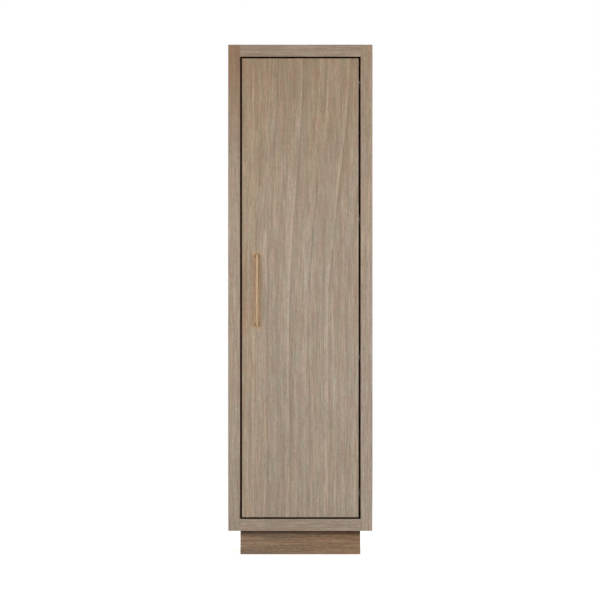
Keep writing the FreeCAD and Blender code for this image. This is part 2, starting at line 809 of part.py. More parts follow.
def cup_screw_holes():
    """Holes for a cup's screws."""
    return [screw_hole(SCREW_D, *ends) for ends in cup_screw_ends()]


# Nodes

def case_nodes():
    """Panels, frame, plinth and what fastens them."""
    side = side_panel()
    upright = stile()
    base_side = plinth_side()
    return {
        "side_panel_left": mirrored(side),
        "side_panel_right": side,
        "top_panel": cross_panel(CEILING, TOP, CEILING),
        "bottom_panel": bottom_panel(),
        "back_panel": back_panel(),
        "anchor_rail": anchor_rail(),
        "stile_left": mirrored(upright),
        "stile_right": upright,
        "rail_top": rail(OPEN_HIGH, TOP, TOP),
        "rail_bottom": rail(BASE, OPEN_LOW, BASE),
        "hinge_strip": hinge_strip(),
        "door_stop": door_stop(),
        "bumpers": bumpers(),
        "plinth_front": plinth_board(True),
        "plinth_rear": plinth_board(False),
        "plinth_left": mirrored(base_side),
        "plinth_right": base_side,
        "plinth_corner_blocks": corner_blocks(),
        "plinth_screws": on_both_sides([plinth_screw(x, y) for x, y in block_spots()]),
        "back_panel_screws": on_both_sides([back_screw(z) for z in back_screw_spots()]),
        "shelf_supports": shelf_supports(),
    }


def door_nodes():
    """Door, its edges and its pull."""
    upright = lipping_upright()
    return {
        "door_panel": door_panel(),
        "door_lipping_left": mirrored(upright),
        "door_lipping_right": upright,
        "door_lipping_top": lipping_across(DOOR_HIGH - LIPPING_T, DOOR_HIGH, DOOR_HIGH),
        "door_lipping_bottom": lipping_across(DOOR_LOW, DOOR_LOW + LIPPING_T, DOOR_LOW),
        "pull_bar": pull_bar(),
        "pull_posts": pull_posts(),
        "pull_screws": pull_screws(),
    }


def hinge_nodes():
    """Hinge pieces: cups, plates and arms one by one, the rest as sets."""
    nodes = {
        "carrier_links": at_each_hinge([carrier_link()]),
        "strap_links": at_each_hinge([strap_link()]),
        "hinge_arm_pins": at_each_hinge(hinge_arm_pins()),
        "hinge_cup_pins": at_each_hinge([cup_pin()]),
        "hinge_cup_screws": at_each_hinge(cup_screws()),
        "hinge_plate_screws": at_each_hinge(plate_screws()),
        "hinge_clamp_screws": at_each_hinge([clamp_screw()]),
    }
    singles = {"hinge_cup": hinge_cup(), "hinge_plate": hinge_plate(), "hinge_arm": hinge_arm()}
    for name, piece in singles.items():
        for i, copy in enumerate(at_each_hinge([piece])):
            nodes[f"{name}_{i + 1}"] = copy
    return nodes


def export(nodes):
    """Write each node's solids to its own file."""
    os.makedirs("parts", exist_ok=True)
    for name, shape in nodes.items():
        solids = Part.makeCompound(shape) if isinstance(shape, list) else shape
        solids.exportStep(f"parts/{name}.step")


def main():
    """Build and export every piece."""
    nodes = {**case_nodes(), **door_nodes(), **hinge_nodes()}
    for i, level in enumerate(shelf_levels()):
        nodes[f"shelf_{i + 1}"] = shelf(level)
    export(nodes)
    carrier, pin, strap, _ = pins()
    print("carrier pivot", plan(*carrier), "door pin", plan(*pin), "strap pivot", plan(*strap))
    print("link turns", link_turn(carrier, pin), link_turn(strap, pins()[3]))


main()
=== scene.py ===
"""Dresses the tall storage cabinet: greyed oak boards, a satin brass pull, nickel hinges and a plain studio.

Every length is in metres in the cabinet's own frame: X across the front to the right, Y into the case
and Z up, with the floor at zero.
"""
import logging
import math
from dataclasses import dataclass, field
from enum import Enum
from functools import cached_property
from typing import Iterable, Sequence

import bmesh
import bpy
from mathutils import Color, Matrix, Vector


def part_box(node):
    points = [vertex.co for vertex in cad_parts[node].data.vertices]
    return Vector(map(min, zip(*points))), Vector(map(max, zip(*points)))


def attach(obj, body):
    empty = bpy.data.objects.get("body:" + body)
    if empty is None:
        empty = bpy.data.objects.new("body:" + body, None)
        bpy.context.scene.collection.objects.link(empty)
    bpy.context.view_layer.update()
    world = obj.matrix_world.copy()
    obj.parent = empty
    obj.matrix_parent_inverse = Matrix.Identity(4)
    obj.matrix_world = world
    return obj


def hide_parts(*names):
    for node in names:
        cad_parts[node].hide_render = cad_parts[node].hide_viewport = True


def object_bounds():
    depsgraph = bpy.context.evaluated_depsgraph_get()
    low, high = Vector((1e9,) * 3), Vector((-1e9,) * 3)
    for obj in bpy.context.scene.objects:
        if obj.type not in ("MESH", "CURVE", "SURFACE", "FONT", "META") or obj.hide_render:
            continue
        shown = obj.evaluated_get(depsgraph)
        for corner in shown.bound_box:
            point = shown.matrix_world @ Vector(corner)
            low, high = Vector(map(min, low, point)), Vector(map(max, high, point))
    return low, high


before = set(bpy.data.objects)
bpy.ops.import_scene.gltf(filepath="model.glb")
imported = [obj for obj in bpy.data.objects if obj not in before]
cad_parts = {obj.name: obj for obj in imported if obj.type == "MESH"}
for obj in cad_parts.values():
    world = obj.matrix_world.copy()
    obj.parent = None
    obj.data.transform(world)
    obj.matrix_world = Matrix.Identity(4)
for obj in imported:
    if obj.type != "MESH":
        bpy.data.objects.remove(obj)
CAD_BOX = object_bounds()

LOG = logging.getLogger("cabinet")
MM = 0.001
TINY = 1e-6
FLAT = math.radians(1)
CRISP = math.radians(38)
STRAIGHT = 0.999
CORNER_MOST = 0.45
COLOUR_A, COLOUR_B, COLOUR_OUT = 6, 7, 2
Rgb = tuple[float, float, float]
Box = tuple[Vector, Vector]
Point = tuple[float, float]
Shape = bmesh.types.BMesh
Socket = bpy.types.NodeSocket
Value = float | Socket


def linear(rgb: Rgb) -> tuple[float, float, float, float]:
    """Light of a display colour from 0 to 255, with an alpha of 1."""
    return (*Color([value / 255 for value in rgb]).from_srgb_to_scene_linear(), 1.0)


class Nodes:
    """Node tree, built a step at a time."""

    def __init__(self, tree: bpy.types.NodeTree) -> None:
        """Take a tree to build in."""
        self.tree = tree

    def node(self, kind: str, **settings: object) -> bpy.types.Node:
        """Add a node.

        Args:
            kind: The node's type without its ShaderNode prefix.
            **settings: Properties to set on it.

        Returns:
            The new node.
        """
        made = self.tree.nodes.new("ShaderNode" + kind)
        for key, value in settings.items():
            setattr(made, key, value)
        return made

    def feed(self, socket: Socket, value: object) -> None:
        """Link an input, or set it.

        Args:
            socket: The input.
            value: The output that feeds it, or a constant.
        """
        if isinstance(value, bpy.types.NodeSocket):
            self.tree.links.new(value, socket)
        else:
            socket.default_value = value

    def math(self, operation: str, *values: Value) -> Socket:
        """Work out one number from up to three.

        Args:
            operation: The Math node's operation.
            *values: The numbers, in the order of its inputs.

        Returns:
            The result's socket.
        """
        made = self.node("Math", operation=operation)
        for socket, value in zip(made.inputs, values):
            self.feed(socket, value)
        return made.outputs[0]

    def times(self, a: Value, b: Value) -> Socket:
        """Product of two numbers."""
        return self.math("MULTIPLY", a, b)

    def minus(self, a: Value, b: Value) -> Socket:
        """Difference of two numbers."""
        return self.math("SUBTRACT", a, b)

    def apart(self, a: Value, b: Value) -> Socket:
        """Distance between two numbers."""
        return self.math("ABSOLUTE", self.minus(a, b))

    def total(self, values: Iterable[Value]) -> Value:
        """Add several numbers up.

        Args:
            values: The numbers.

        Returns:
            Their sum.
        """
        result: Value = 0.0
        for value in values:
            result = self.math("ADD", result, value)
        return result

    def between(self, value: Value, low: float, high: float, smooth: bool = True) -> Socket:
        """Measure how far a number has come from one value to another.

        Args:
            value: The number.
            low: Value at which the share is 0.
            high: Value at which the share is 1, which may be the smaller of the two.
            smooth: Whether the share eases in and out.

        Returns:
            The share, held at 0 and 1 outside the two values.
        """
        made = self.node("MapRange", interpolation_type="SMOOTHSTEP" if smooth else "LINEAR")
        self.feed(made.inputs["Value"], value)
        made.inputs["From Min"].default_value = low
        made.inputs["From Max"].default_value = high
        return made.outputs["Result"]

    def blend(self, kind: str, share: Value, a: object, b: object) -> Socket:
        """Blend two colours.

        Args:
            kind: The Mix node's way of blending.
            share: Share of the second colour, which may lie past 0 and 1.
            a: First colour.
            b: Second colour.

        Returns:
            The blended colour's socket.
        """
        made = self.node("Mix", data_type="RGBA", blend_type=kind, clamp_factor=False)
        self.feed(made.inputs["Factor"], share)
        self.feed(made.inputs[COLOUR_A], a)
        self.feed(made.inputs[COLOUR_B], b)
        return made.outputs[COLOUR_OUT]

    def clouded(self, cloud: Socket, rgb: Rgb, dull: float) -> Socket:
        """Display colour that falls to a share of itself in the clouds."""
        return self.blend("MIX", cloud, linear(rgb), linear(tuple(value * dull for value in rgb)))

    def place(self) -> Socket:
        """The point on the object, in the cabinet's frame at rest."""
        return self.node("TexCoord").outputs["Object"]

    def split(self, vector: Socket) -> tuple[Socket, Socket, Socket]:
        """Take a vector apart.

        Args:
            vector: The vector.

        Returns:
            Its X, Y and Z.
        """
        made = self.node("SeparateXYZ")
        self.feed(made.inputs[0], vector)
        return made.outputs[0], made.outputs[1], made.outputs[2]

    def join(self, values: Iterable[Value]) -> Socket:
        """Make a vector.

        Args:
            values: Its X, Y and Z.

        Returns:
            The vector's socket.
        """
        made = self.node("CombineXYZ")
        for socket, value in zip(made.inputs, values):
            self.feed(socket, value)
        return made.outputs[0]

    def scaled(self, vector: Socket, sizes: Sequence[float], offset: Sequence[float]) -> Socket:
        """Measure a vector in given sizes along its axes, then move it.

        Args:
            vector: The vector.
            sizes: Length that becomes 1 along X, Y and Z.
            offset: How far the result is moved.

        Returns:
            The new vector's socket.
        """
        made = self.node("Mapping", vector_type="POINT")
        self.feed(made.inputs["Vector"], vector)
        made.inputs["Scale"].default_value = [1 / size for size in sizes]
        made.inputs["Location"].default_value = offset
        return made.outputs[0]

    def noise(self, vector: Socket, detail: float) -> Socket:
        """Make smooth noise whose features are about one unit across.

        Args:
            vector: Where it is read.
            detail: Number of finer layers in it.

        Returns:
            The noise, about 0.5.
        """
        made = self.node("TexNoise", noise_dimensions="3D")
        self.feed(made.inputs["Vector"], vector)
        made.inputs["Scale"].default_value = 1.0
        made.inputs["Detail"].default_value = detail
        return made.outputs[0]

    def ramp(self, value: Value, stops: Sequence[tuple[float, Sequence[float]]]) -> Socket:
        """Read a colour between stops.

        Args:
            value: Share of the way from the first stop to the last.
            stops: Place of each stop and its light.

        Returns:
            The colour's socket.
        """
        made = self.node("ValToRGB")
        elements = made.color_ramp.elements
        while len(elements) < len(stops):
            elements.new(1.0)
        for element, (share, light) in zip(elements, stops):
            element.position = share
            element.color = light
        self.feed(made.inputs[0], value)
        return made.outputs[0]

    def bump(self, height: Socket, depth: float, strength: float) -> Socket:
        """Give a surface small relief.

        Args:
            height: Height from 0 to 1.
            depth: Length that a height of 1 stands for.
            strength: Share of the relief that shows.

        Returns:
            The normal's socket.
        """
        made = self.node("Bump")
        made.inputs["Strength"].default_value = strength
        made.inputs["Distance"].default_value = depth
        self.feed(made.inputs["Height"], height)
        return made.outputs[0]


class Shader(Nodes):
    """Node material, built a step at a time."""

    def __init__(self, name: str) -> None:
        """Start an empty material.

        Args:
            name: The material's name.
        """
        self.material = bpy.data.materials.new(name)
        self.material.use_nodes = True
        super().__init__(self.material.node_tree)
        self.tree.nodes.clear()
        self.output = self.node("OutputMaterial")

    def surface(self, **values: object) -> bpy.types.Material:
        """End the material with the main shader.

        Args:
            **values: Its inputs by name, with underscores for spaces.

        Returns:
            The finished material.
        """
        made = self.node("BsdfPrincipled")
        for key, value in values.items():
            self.feed(made.inputs[key.replace("_", " ")], value)
        self.feed(self.output.inputs["Surface"], made.outputs[0])
        return self.material


class Grain(Enum):
    """Way that a board's grain runs, as the index of the axis it follows."""

    ACROSS = 0
    INWARD = 1
    UPRIGHT = 2


@dataclass(frozen=True)
class Pattern:
    """Noise drawn out along the grain: which layer it is, its size, its detail and how much it counts."""

    layer: int
    width: float
    length: float
    detail: float = 1.0
    strength: float = 1.0


@dataclass(frozen=True)
class GrowthLine:
    """A growth line in the door's veneer: its place at the foot, and the tone on its left and right."""

    x: float
    left: float
    right: float
    reach: float
    edge: float = 1.3 * MM

    def stops(self) -> list[Point]:
        """Places across the line with the tone at each."""
        return [(self.x - self.reach, 0.0), (self.x - self.edge, self.left),
                (self.x + self.edge, self.right), (self.x + self.reach, 0.0)]


@dataclass(frozen=True)
class GapShade:
    """Painted shade on the edges that face each other across the gap round the door."""

    door: Box
    opening: Box
    front: float
    arris_x: float = 1.3 * MM
    arris_z: float = 0.4 * MM
    depth: float = 22.4 * MM

    def inside(self, shader: Shader, box: Box, side: int) -> Socket:
        """Measure how far a point lies inside a box's outline, as seen from the front.

        Args:
            shader: The board's material.
            box: Lowest and highest corner.
            side: 1 to let the outline out by the arris and -1 to draw it in.

        Returns:
            The distance to the nearest side, negative outside.
        """
        centre, half = middle(box), (box[1] - box[0]) / 2
        x, _, z = shader.split(shader.place())
        sides = [shader.minus(half[axis] + side * arris, shader.apart(value, centre[axis]))
                 for value, axis, arris in ((x, 0, self.arris_x), (z, 2, self.arris_z))]
        return shader.math("MINIMUM", *sides)

    def share(self, shader: Shader) -> Socket:
        """Find where the painted shade lies.

        Args:
            shader: The board's material.

        Returns:
            1 in the gap and on the narrow arris beside it, and 0 elsewhere.
        """
        within = shader.math("GREATER_THAN", self.inside(shader, self.opening, 1), 0.0)
        beyond = shader.math("LESS_THAN", self.inside(shader, self.door, -1), 0.0)
        near = shader.math("LESS_THAN", shader.split(shader.place())[1], self.front + self.depth)
        return shader.times(shader.times(within, beyond), near)


@dataclass(frozen=True)
class PullPatch:
    """Upright patch of tint on the door's front by the pull."""

    x: float
    foot: float
    head: float
    front: float
    flat: float
    reach: float
    fade: float
    tint: Rgb

    def share(self, shader: Shader) -> Socket:
        """Find where the patch lies.

        Args:
            shader: The door's material.

        Returns:
            1 in its middle, falling to 0 past its sides and ends and behind the door's front.
        """
        x, y, z = shader.split(shader.place())
        beside = shader.apart(x, self.x)
        past = shader.minus(shader.apart(z, (self.foot + self.head) / 2), (self.head - self.foot) / 2)
        across = shader.between(beside, self.reach, self.flat)
        along = shader.between(shader.math("MAXIMUM", past, 0.0), self.fade, 0.0)
        return shader.times(shader.times(across, along), shader.math("LESS_THAN", y, self.front + MM))


@dataclass(frozen=True)
class Oak:
    """Greyed oak with long streaks, fine fibres and open pores."""

    name: str
    grain: Grain
    seed: int
    tone: Rgb
    contrast: float = 1.0
    scale: float = 1.0
    warmth: float = 0.0
    warm_axis: Grain = Grain.UPRIGHT
    warm_from: float = 0.9
    warm_to: float = 2.15
    warmth_left: float = 0.0
    lean: float = 0.0
    lean_spread: float = 0.0
    lean_from: float = 0.0
    lean_to: float = 1.0
    # Share of a painted shade that darkens the board towards the top, where less light falls.
    painted_top_shade: float = 0.0
    # Height of the board's top under the case, below which a painted shade darkens it; 0 for none.
    head: float = 0.0
    lines: tuple[GrowthLine, ...] = ()
    gloss: float = 0.5
    gap_shade: GapShade | None = None
    pull_patches: tuple[PullPatch, ...] = ()

    STREAKS = (
        Pattern(0, 60 * MM, 1500 * MM, 2.0, 0.22),
        Pattern(1, 17 * MM, 750 * MM, 2.0, 0.26),
        Pattern(2, 7 * MM, 300 * MM, 2.0, 0.36),
        Pattern(3, 4.2 * MM, 90 * MM, 1.0, 0.57),
        Pattern(4, 1.5 * MM, 30 * MM, 2.0, 0.34),
        Pattern(5, 4.5 * MM, 13 * MM, 1.0, 0.30),
        Pattern(6, 0.6 * MM, 30 * MM, 2.0, 0.34),
    )
    PATCH = Pattern(5, 30 * MM, 400 * MM, 2.0)
    BLUSH = Pattern(6, 18 * MM, 45 * MM)
    PORE = Pattern(7, 0.36 * MM, 8 * MM, strength=-0.32)
    FLECK = Pattern(8, 3.2 * MM, 32 * MM)
    STRETCH = Pattern(9, 50 * MM, 250 * MM, strength=2.0)
    WAVE = Pattern(11, 220 * MM, 500 * MM, strength=18 * MM)
    SEED_STEPS = (17.3, 9.7, 23.9)
    LAYER_STEPS = (5.1, -3.3, 7.7)
    STRAIGHT_BELOW = 9 * MM
    PORE_RANGE = (0.58, 0.68)
    FLECK_RANGE = (0.60, 0.76)
    PATCH_RANGE = (0.25, 0.75)
    LEFT_RANGE = (-0.12, -0.235)
    TOP_RANGE = (1.5, 2.15)
    LINES_SPAN = 0.52
    # Depth and fall of the painted shade under the case.
    UNDER_CASE_SHADE_DEPTH = 45 * MM
    UNDER_CASE_SHADE_FALL = 2.6
    PORE_RELIEF = 0.5
    RELIEF_DEPTH = 0.12 * MM
    RELIEF_SHARE = 0.6
    ROUGH_PALE = -0.12
    ROUGH_DARK = 0.62
    PLAIN = (1.0, 1.0, 1.0)
    DARKEST = (0.72, 0.685, 0.65)
    PALEST = (1.28, 1.315, 1.35)
    COOL = (0.98, 1.0, 1.05)
    WARM = (1.03, 0.998, 0.94)
    PINK = (1.055, 0.96, 0.98)
    GREEN = (0.95, 1.035, 1.0)
    FLECK_TINT = (0.80, 0.74, 0.66)
    # Painted shade towards the top.
    TOP_SHADE_TINT = (0.92, 0.85, 0.79)
    # Painted shade under the case.
    UNDER_CASE_SHADE_TINT = (0.20, 0.10, 0.05)
    # Painted shade in the gap round the door.
    GAP_SHADE_TINT = (0.185, 0.076, 0.028)

    def read(self, shader: Shader, place: Socket, pattern: Pattern) -> Socket:
        """Lay a pattern along this board's grain.

        Args:
            shader: The board's material.
            place: Point on the board.
            pattern: The pattern.

        Returns:
            The pattern's noise, from a place that no other board or layer reads.
        """
        sizes = [self.scale * (pattern.length if axis == self.grain.value else pattern.width)
                 for axis in range(3)]
        offset = [self.seed * seed + pattern.layer * layer
                  for seed, layer in zip(self.SEED_STEPS, self.LAYER_STEPS)]
        return shader.noise(shader.scaled(place, sizes, offset), pattern.detail)

    def flow(self, shader: Shader) -> Socket:
        """Draw the board's wandering and leaning grain out straight.

        Args:
            shader: The board's material.

        Returns:
            The point on the straightened board.
        """
        place = shader.place()
        x, y, z = shader.split(place)
        shift = shader.times(shader.minus(self.read(shader, place, self.WAVE), 0.5), self.WAVE.strength)
        if self.lean:
            leaned = shader.between(z, self.lean_from, self.lean_to)
            shift = shader.minus(shift, shader.times(leaned, self.lean))
            x = shader.math("DIVIDE", x, shader.math("MULTIPLY_ADD", leaned, self.lean_spread, 1.0))
        return shader.join(value if axis == self.grain.value else shader.math("ADD", value, shift)
                           for axis, value in enumerate((x, y, z)))

    def growth(self, shader: Shader, place: Socket) -> Socket:
        """Draw the growth lines, stronger in some stretches than in others.

        Args:
            shader: The board's material.
            place: Point on the straightened board.

        Returns:
            The tone that they add.
        """
        stops = [(x / self.LINES_SPAN + 0.5, (0.5 + tone, 0.5 + tone, 0.5 + tone, 1.0))
                 for line in self.lines for x, tone in line.stops()]
        share = shader.math("MULTIPLY_ADD", shader.split(place)[0], 1 / self.LINES_SPAN, 0.5)
        strength = shader.times(self.read(shader, place, self.STRETCH), self.STRETCH.strength)
        return shader.times(shader.minus(shader.ramp(share, stops), 0.5), strength)

    def material(self) -> bpy.types.Material:
        """Build the finish.

        Returns:
            The material.
        """
        shader = Shader(self.name)
        straight, place = shader.place(), self.flow(shader)
        parts: list[Value] = [0.5]
        for streaks in self.STREAKS:
            source = straight if streaks.width < self.STRAIGHT_BELOW else place
            tone = shader.minus(self.read(shader, source, streaks), 0.5)
            parts.append(shader.times(tone, streaks.strength * self.contrast))
        if self.lines:
            parts.append(self.growth(shader, place))
        pore = shader.between(self.read(shader, straight, self.PORE), *self.PORE_RANGE)
        parts.append(shader.times(pore, self.PORE.strength * self.contrast))
        tone = shader.total(parts)
        relief = shader.minus(tone, shader.times(pore, self.PORE_RELIEF))
        return shader.surface(
            Base_Color=self.tinted(shader, shader.ramp(tone, self.stops()), place),
            Roughness=shader.math("MULTIPLY_ADD", tone, self.ROUGH_PALE, self.ROUGH_DARK),
            Specular_IOR_Level=self.gloss,
            Normal=shader.bump(relief, self.RELIEF_DEPTH, self.RELIEF_SHARE))

    def stops(self) -> list[tuple[float, Sequence[float]]]:
        """Light of the darkest streak, of the board's tone and of the palest fibre."""
        shades = [tuple(min(255.0, value * share) for value, share in zip(self.tone, shares))
                  for shares in (self.DARKEST, self.PLAIN, self.PALEST)]
        return [(index / 2, linear(shade)) for index, shade in enumerate(shades)]

    def tinted(self, shader: Shader, colour: Socket, place: Socket) -> Socket:
        """Lay every tint over the streaks.

        Args:
            shader: The board's material.
            colour: Colour of the streaks.
            place: Point on the straightened board.

        Returns:
            The board's colour.
        """
        for share, start, end in self.tints(shader, place):
            tint = shader.blend("MIX", share, (*start, 1.0), (*end, 1.0))
            colour = shader.blend("MULTIPLY", 1.0, colour, tint)
        return colour

    def tints(self, shader: Shader, place: Socket) -> list[tuple[Value, Rgb, Rgb]]:
        """Find the tints of the board, painted shades among them.

        Args:
            shader: The board's material.
            place: Point on the straightened board.

        Returns:
            Each tint's share, and its shares of red, green and blue at 0 and at 1.
        """
        blush = shader.between(self.read(shader, place, self.BLUSH), *self.PATCH_RANGE, False)
        fleck = shader.between(self.read(shader, shader.place(), self.FLECK), *self.FLECK_RANGE)
        tints = [(self.warm(shader, place), self.COOL, self.WARM), (blush, self.PINK, self.GREEN)]
        over = [(shader.times(fleck, self.contrast), self.FLECK_TINT)]
        height = shader.split(shader.place())[2]
        # Painted shade towards the top.
        if self.painted_top_shade:
            shade = shader.between(height, *self.TOP_RANGE)
            over.append((shader.times(shade, self.painted_top_shade), self.TOP_SHADE_TINT))
        # Painted shade under the case's overhang, darkest at the board's top.
        if self.head:
            line = shader.between(height, self.head - self.UNDER_CASE_SHADE_DEPTH, self.head, False)
            over.append((shader.math("POWER", line, self.UNDER_CASE_SHADE_FALL), self.UNDER_CASE_SHADE_TINT))
        # The patches by the pull, the warm one a painted reflection of the brass.
        over += [(patch.share(shader), patch.tint) for patch in self.pull_patches]
        # Painted shade in the gap round the door and on the arris beside it.
        if self.gap_shade:
            over.append((self.gap_shade.share(shader), self.GAP_SHADE_TINT))
        return tints + [(share, self.PLAIN, tint) for share, tint in over]

    def warm(self, shader: Shader, place: Socket) -> Socket:
        """Find how warm the board is, in patches and towards one end or side.

        Args:
            shader: The board's material.
            place: Point on the straightened board.

        Returns:
            Share of the warm tint.
        """
        warm = shader.between(self.read(shader, place, self.PATCH), *self.PATCH_RANGE, False)
        point = shader.split(shader.place())
        if self.warmth:
            way = shader.between(point[self.warm_axis.value], self.warm_from, self.warm_to, False)
            warm = shader.math("MULTIPLY_ADD", shader.minus(way, 0.5), self.warmth, warm)
        if self.warmth_left:
            way = shader.between(point[0], *self.LEFT_RANGE)
            warm = shader.math("MULTIPLY_ADD", way, self.warmth_left, warm)
        return warm


@dataclass(frozen=True)
class Metal:
    """Metal with a fine even satin."""

    name: str
    colour: Rgb
    roughness: float

    GRIT = (0.4 * MM, 0.4 * MM, 3 * MM)
    GRIT_DETAIL = 3.0
    GRIT_DEPTH = 0.01 * MM
    GRIT_SHARE = 0.4
    CLOUD = (20 * MM, 20 * MM, 20 * MM)
    CLOUD_AT = (3, 1, 7)
    CLOUD_DETAIL = 2.0
    MARKS = 0.06
    DULL = 0.94

    def material(self) -> bpy.types.Material:
        """Build the finish.

        Returns:
            The material.
        """
        shader = Shader(self.name)
        place = shader.place()
        grit = shader.noise(shader.scaled(place, self.GRIT, (0, 0, 0)), self.GRIT_DETAIL)
        cloud = shader.noise(shader.scaled(place, self.CLOUD, self.CLOUD_AT), self.CLOUD_DETAIL)
        rough = shader.math("MULTIPLY_ADD", grit, self.MARKS, self.roughness - self.MARKS / 2)
        return shader.surface(
            Base_Color=shader.clouded(cloud, self.colour, self.DULL),
            Metallic=1.0,
            Roughness=shader.math("MULTIPLY_ADD", cloud, self.MARKS, rough),
            Normal=shader.bump(grit, self.GRIT_DEPTH, self.GRIT_SHARE))


@dataclass(frozen=True)
class Rubber:
    """Pale soft plastic of the bumpers."""

    name: str
    colour: Rgb = (205, 203, 196)

    CLOUD = (2 * MM, 2 * MM, 2 * MM)
    CLOUD_DETAIL = 2.0
    DULL = 0.93
    ROUGH = 0.4
    ROUGH_CLOUD = 0.1
    SOFT = 0.2
    SOFT_DEPTH = 1 * MM
    CLEAR = 0.15

    def material(self) -> bpy.types.Material:
        """Build the finish.

        Returns:
            The material.
        """
        shader = Shader(self.name)
        cloud = shader.noise(shader.scaled(shader.place(), self.CLOUD, (0, 0, 0)), self.CLOUD_DETAIL)
        return shader.surface(
            Base_Color=shader.clouded(cloud, self.colour, self.DULL),
            Roughness=shader.math("MULTIPLY_ADD", cloud, self.ROUGH_CLOUD, self.ROUGH),
            Subsurface_Weight=self.SOFT,
            Subsurface_Scale=self.SOFT_DEPTH,
            Transmission_Weight=self.CLEAR)


def dress(nodes: Iterable[str], material: bpy.types.Material) -> None:
    """Give CAD nodes a material.

    Args:
        nodes: The nodes' names.
        material: Their material.
    """
    for name in nodes:
        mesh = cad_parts[name].data
        mesh.materials.clear()
        mesh.materials.append(material)
        LOG.info("dressed %s in %s", name, material.name)


def named(start: str) -> list[str]:
    """Nodes whose names start in a given way."""
    return sorted(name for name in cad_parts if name.startswith(start))


class Combine(Enum):
    """How two closed shapes become one."""

    CUT = "DIFFERENCE"
    JOIN = "UNION"


def lathe(profile: Sequence[Point], steps: int) -> Shape:
    """Turn a profile about Z.

    Args:
        profile: Radius and height of each point, from one end on the axis to the other.
        steps: Sides of the turned shape.

    Returns:
        A closed shape.
    """
    shape = bmesh.new()
    verts = [shape.verts.new((radius, 0, height)) for radius, height in profile]
    edges = [shape.edges.new(pair) for pair in zip(verts, verts[1:])]
    bmesh.ops.spin(shape, geom=verts + edges, cent=(0, 0, 0), axis=(0, 0, 1), angle=math.tau, steps=steps,
                   use_merge=True)
    bmesh.ops.remove_doubles(shape, verts=shape.verts, dist=TINY)
    bmesh.ops.recalc_face_normals(shape, faces=shape.faces)
    return shape


def rounded(profile: Sequence[Point], radius: float, segments: int = 3) -> list[Point]:
    """Round every inner corner of a profile.

    Args:
        profile: Points of a line in a plane.
        radius: Length that each corner gives up on either side, where the line is long enough.
        segments: Steps round a corner.

    Returns:
        The points of the rounded line.
    """
    points = [profile[0]]
    for before, corner, after in zip(profile, profile[1:], profile[2:]):
        here = Vector(corner)
        one, two = Vector(before) - here, Vector(after) - here
        reach = min(radius, one.length * CORNER_MOST, two.length * CORNER_MOST)
        start, end = here + one.normalized() * reach, here + two.normalized() * reach
        for step in range(segments + 1):
            share = step / segments
            points.append(tuple(start.lerp(here, share).lerp(here.lerp(end, share), share)))
    points.append(profile[-1])
    return points


def eased(shape: Shape, edges: Sequence[bmesh.types.BMEdge], radius: float, segments: int,
          clamp: bool = False) -> Shape:
    """Round chosen edges of a shape.

    Args:
        shape: Closed shape, changed in place.
        edges: The edges.
        radius: Width that each edge gives up.
        segments: Steps round an edge.
        clamp: Whether the width shrinks where two edges would overlap.

    Returns:
        The same shape.
    """
    bmesh.ops.bevel(shape, geom=edges, offset=radius, affect="EDGES", segments=segments, profile=0.5,
                    material=-1, clamp_overlap=clamp)
    return shape


def bevelled(shape: Shape, radius: float, segments: int = 2, sharper: float = 30.0) -> Shape:
    """Round all sharp edges of a shape.

    Args:
        shape: Closed shape, changed in place.
        radius: Width that each edge gives up.
        segments: Steps round an edge.
        sharper: Degrees that two faces turn by at an edge that is rounded.

    Returns:
        The same shape.
    """
    edges = [edge for edge in shape.edges
             if len(edge.link_faces) == 2 and edge.calc_face_angle() > math.radians(sharper)]
    return eased(shape, edges, radius, segments, clamp=True)


def block(low: Sequence[float], high: Sequence[float]) -> Shape:
    """Make a block.

    Args:
        low: Lowest corner.
        high: Highest corner.

    Returns:
        A closed shape.
    """
    shape = bmesh.new()
    bmesh.ops.create_cube(shape, size=1.0)
    low, high = Vector(low), Vector(high)
    bmesh.ops.scale(shape, vec=high - low, verts=shape.verts)
    bmesh.ops.translate(shape, vec=(low + high) / 2, verts=shape.verts)
    return shape


def extruded(outline: Sequence[Point], low: float, high: float) -> Shape:
    """Raise an outline.

    Args:
        outline: Its corners in X and Y.
        low: Height of its foot.
        high: Height of its head.

    Returns:
        A closed shape.
    """
    shape = bmesh.new()
    face = shape.faces.new([shape.verts.new((x, y, low)) for x, y in outline])
    raised = bmesh.ops.extrude_face_region(shape, geom=[face])["geom"]
    lifted = [item for item in raised if isinstance(item, bmesh.types.BMVert)]
    bmesh.ops.translate(shape, vec=(0, 0, high - low), verts=lifted)
    bmesh.ops.recalc_face_normals(shape, faces=shape.faces)
    return shape


def turned(shape: Shape, matrix: Matrix) -> Shape:
    """A shape moved and turned in place."""
    shape.transform(matrix)
    return shape


def combined(shape: Shape, tool: Shape, how: Combine) -> Shape:
    """Join two closed shapes or cut one from the other.

    Args:
        shape: The shape that is kept.
        tool: The shape that is added or cut away.
        how: Which of the two is done.

    Returns:
        The new shape; both old ones are freed.
    """
    workers = []
    for source in (shape, tool):
        mesh = bpy.data.meshes.new("work")
        source.to_mesh(mesh)
        source.free()
        workers.append(bpy.data.objects.new("work", mesh))
        bpy.context.scene.collection.objects.link(workers[-1])
    modifier = workers[0].modifiers.new("combine", "BOOLEAN")
    modifier.object = workers[1]
    modifier.operation = how.value
    modifier.solver = "EXACT"
    result = bmesh.new()
    result.from_object(workers[0], bpy.context.evaluated_depsgraph_get())
    for worker in workers:
        bpy.data.meshes.remove(worker.data)
    bmesh.ops.remove_doubles(result, verts=result.verts, dist=TINY)
    bmesh.ops.dissolve_degenerate(result, edges=result.edges, dist=TINY)
    return result


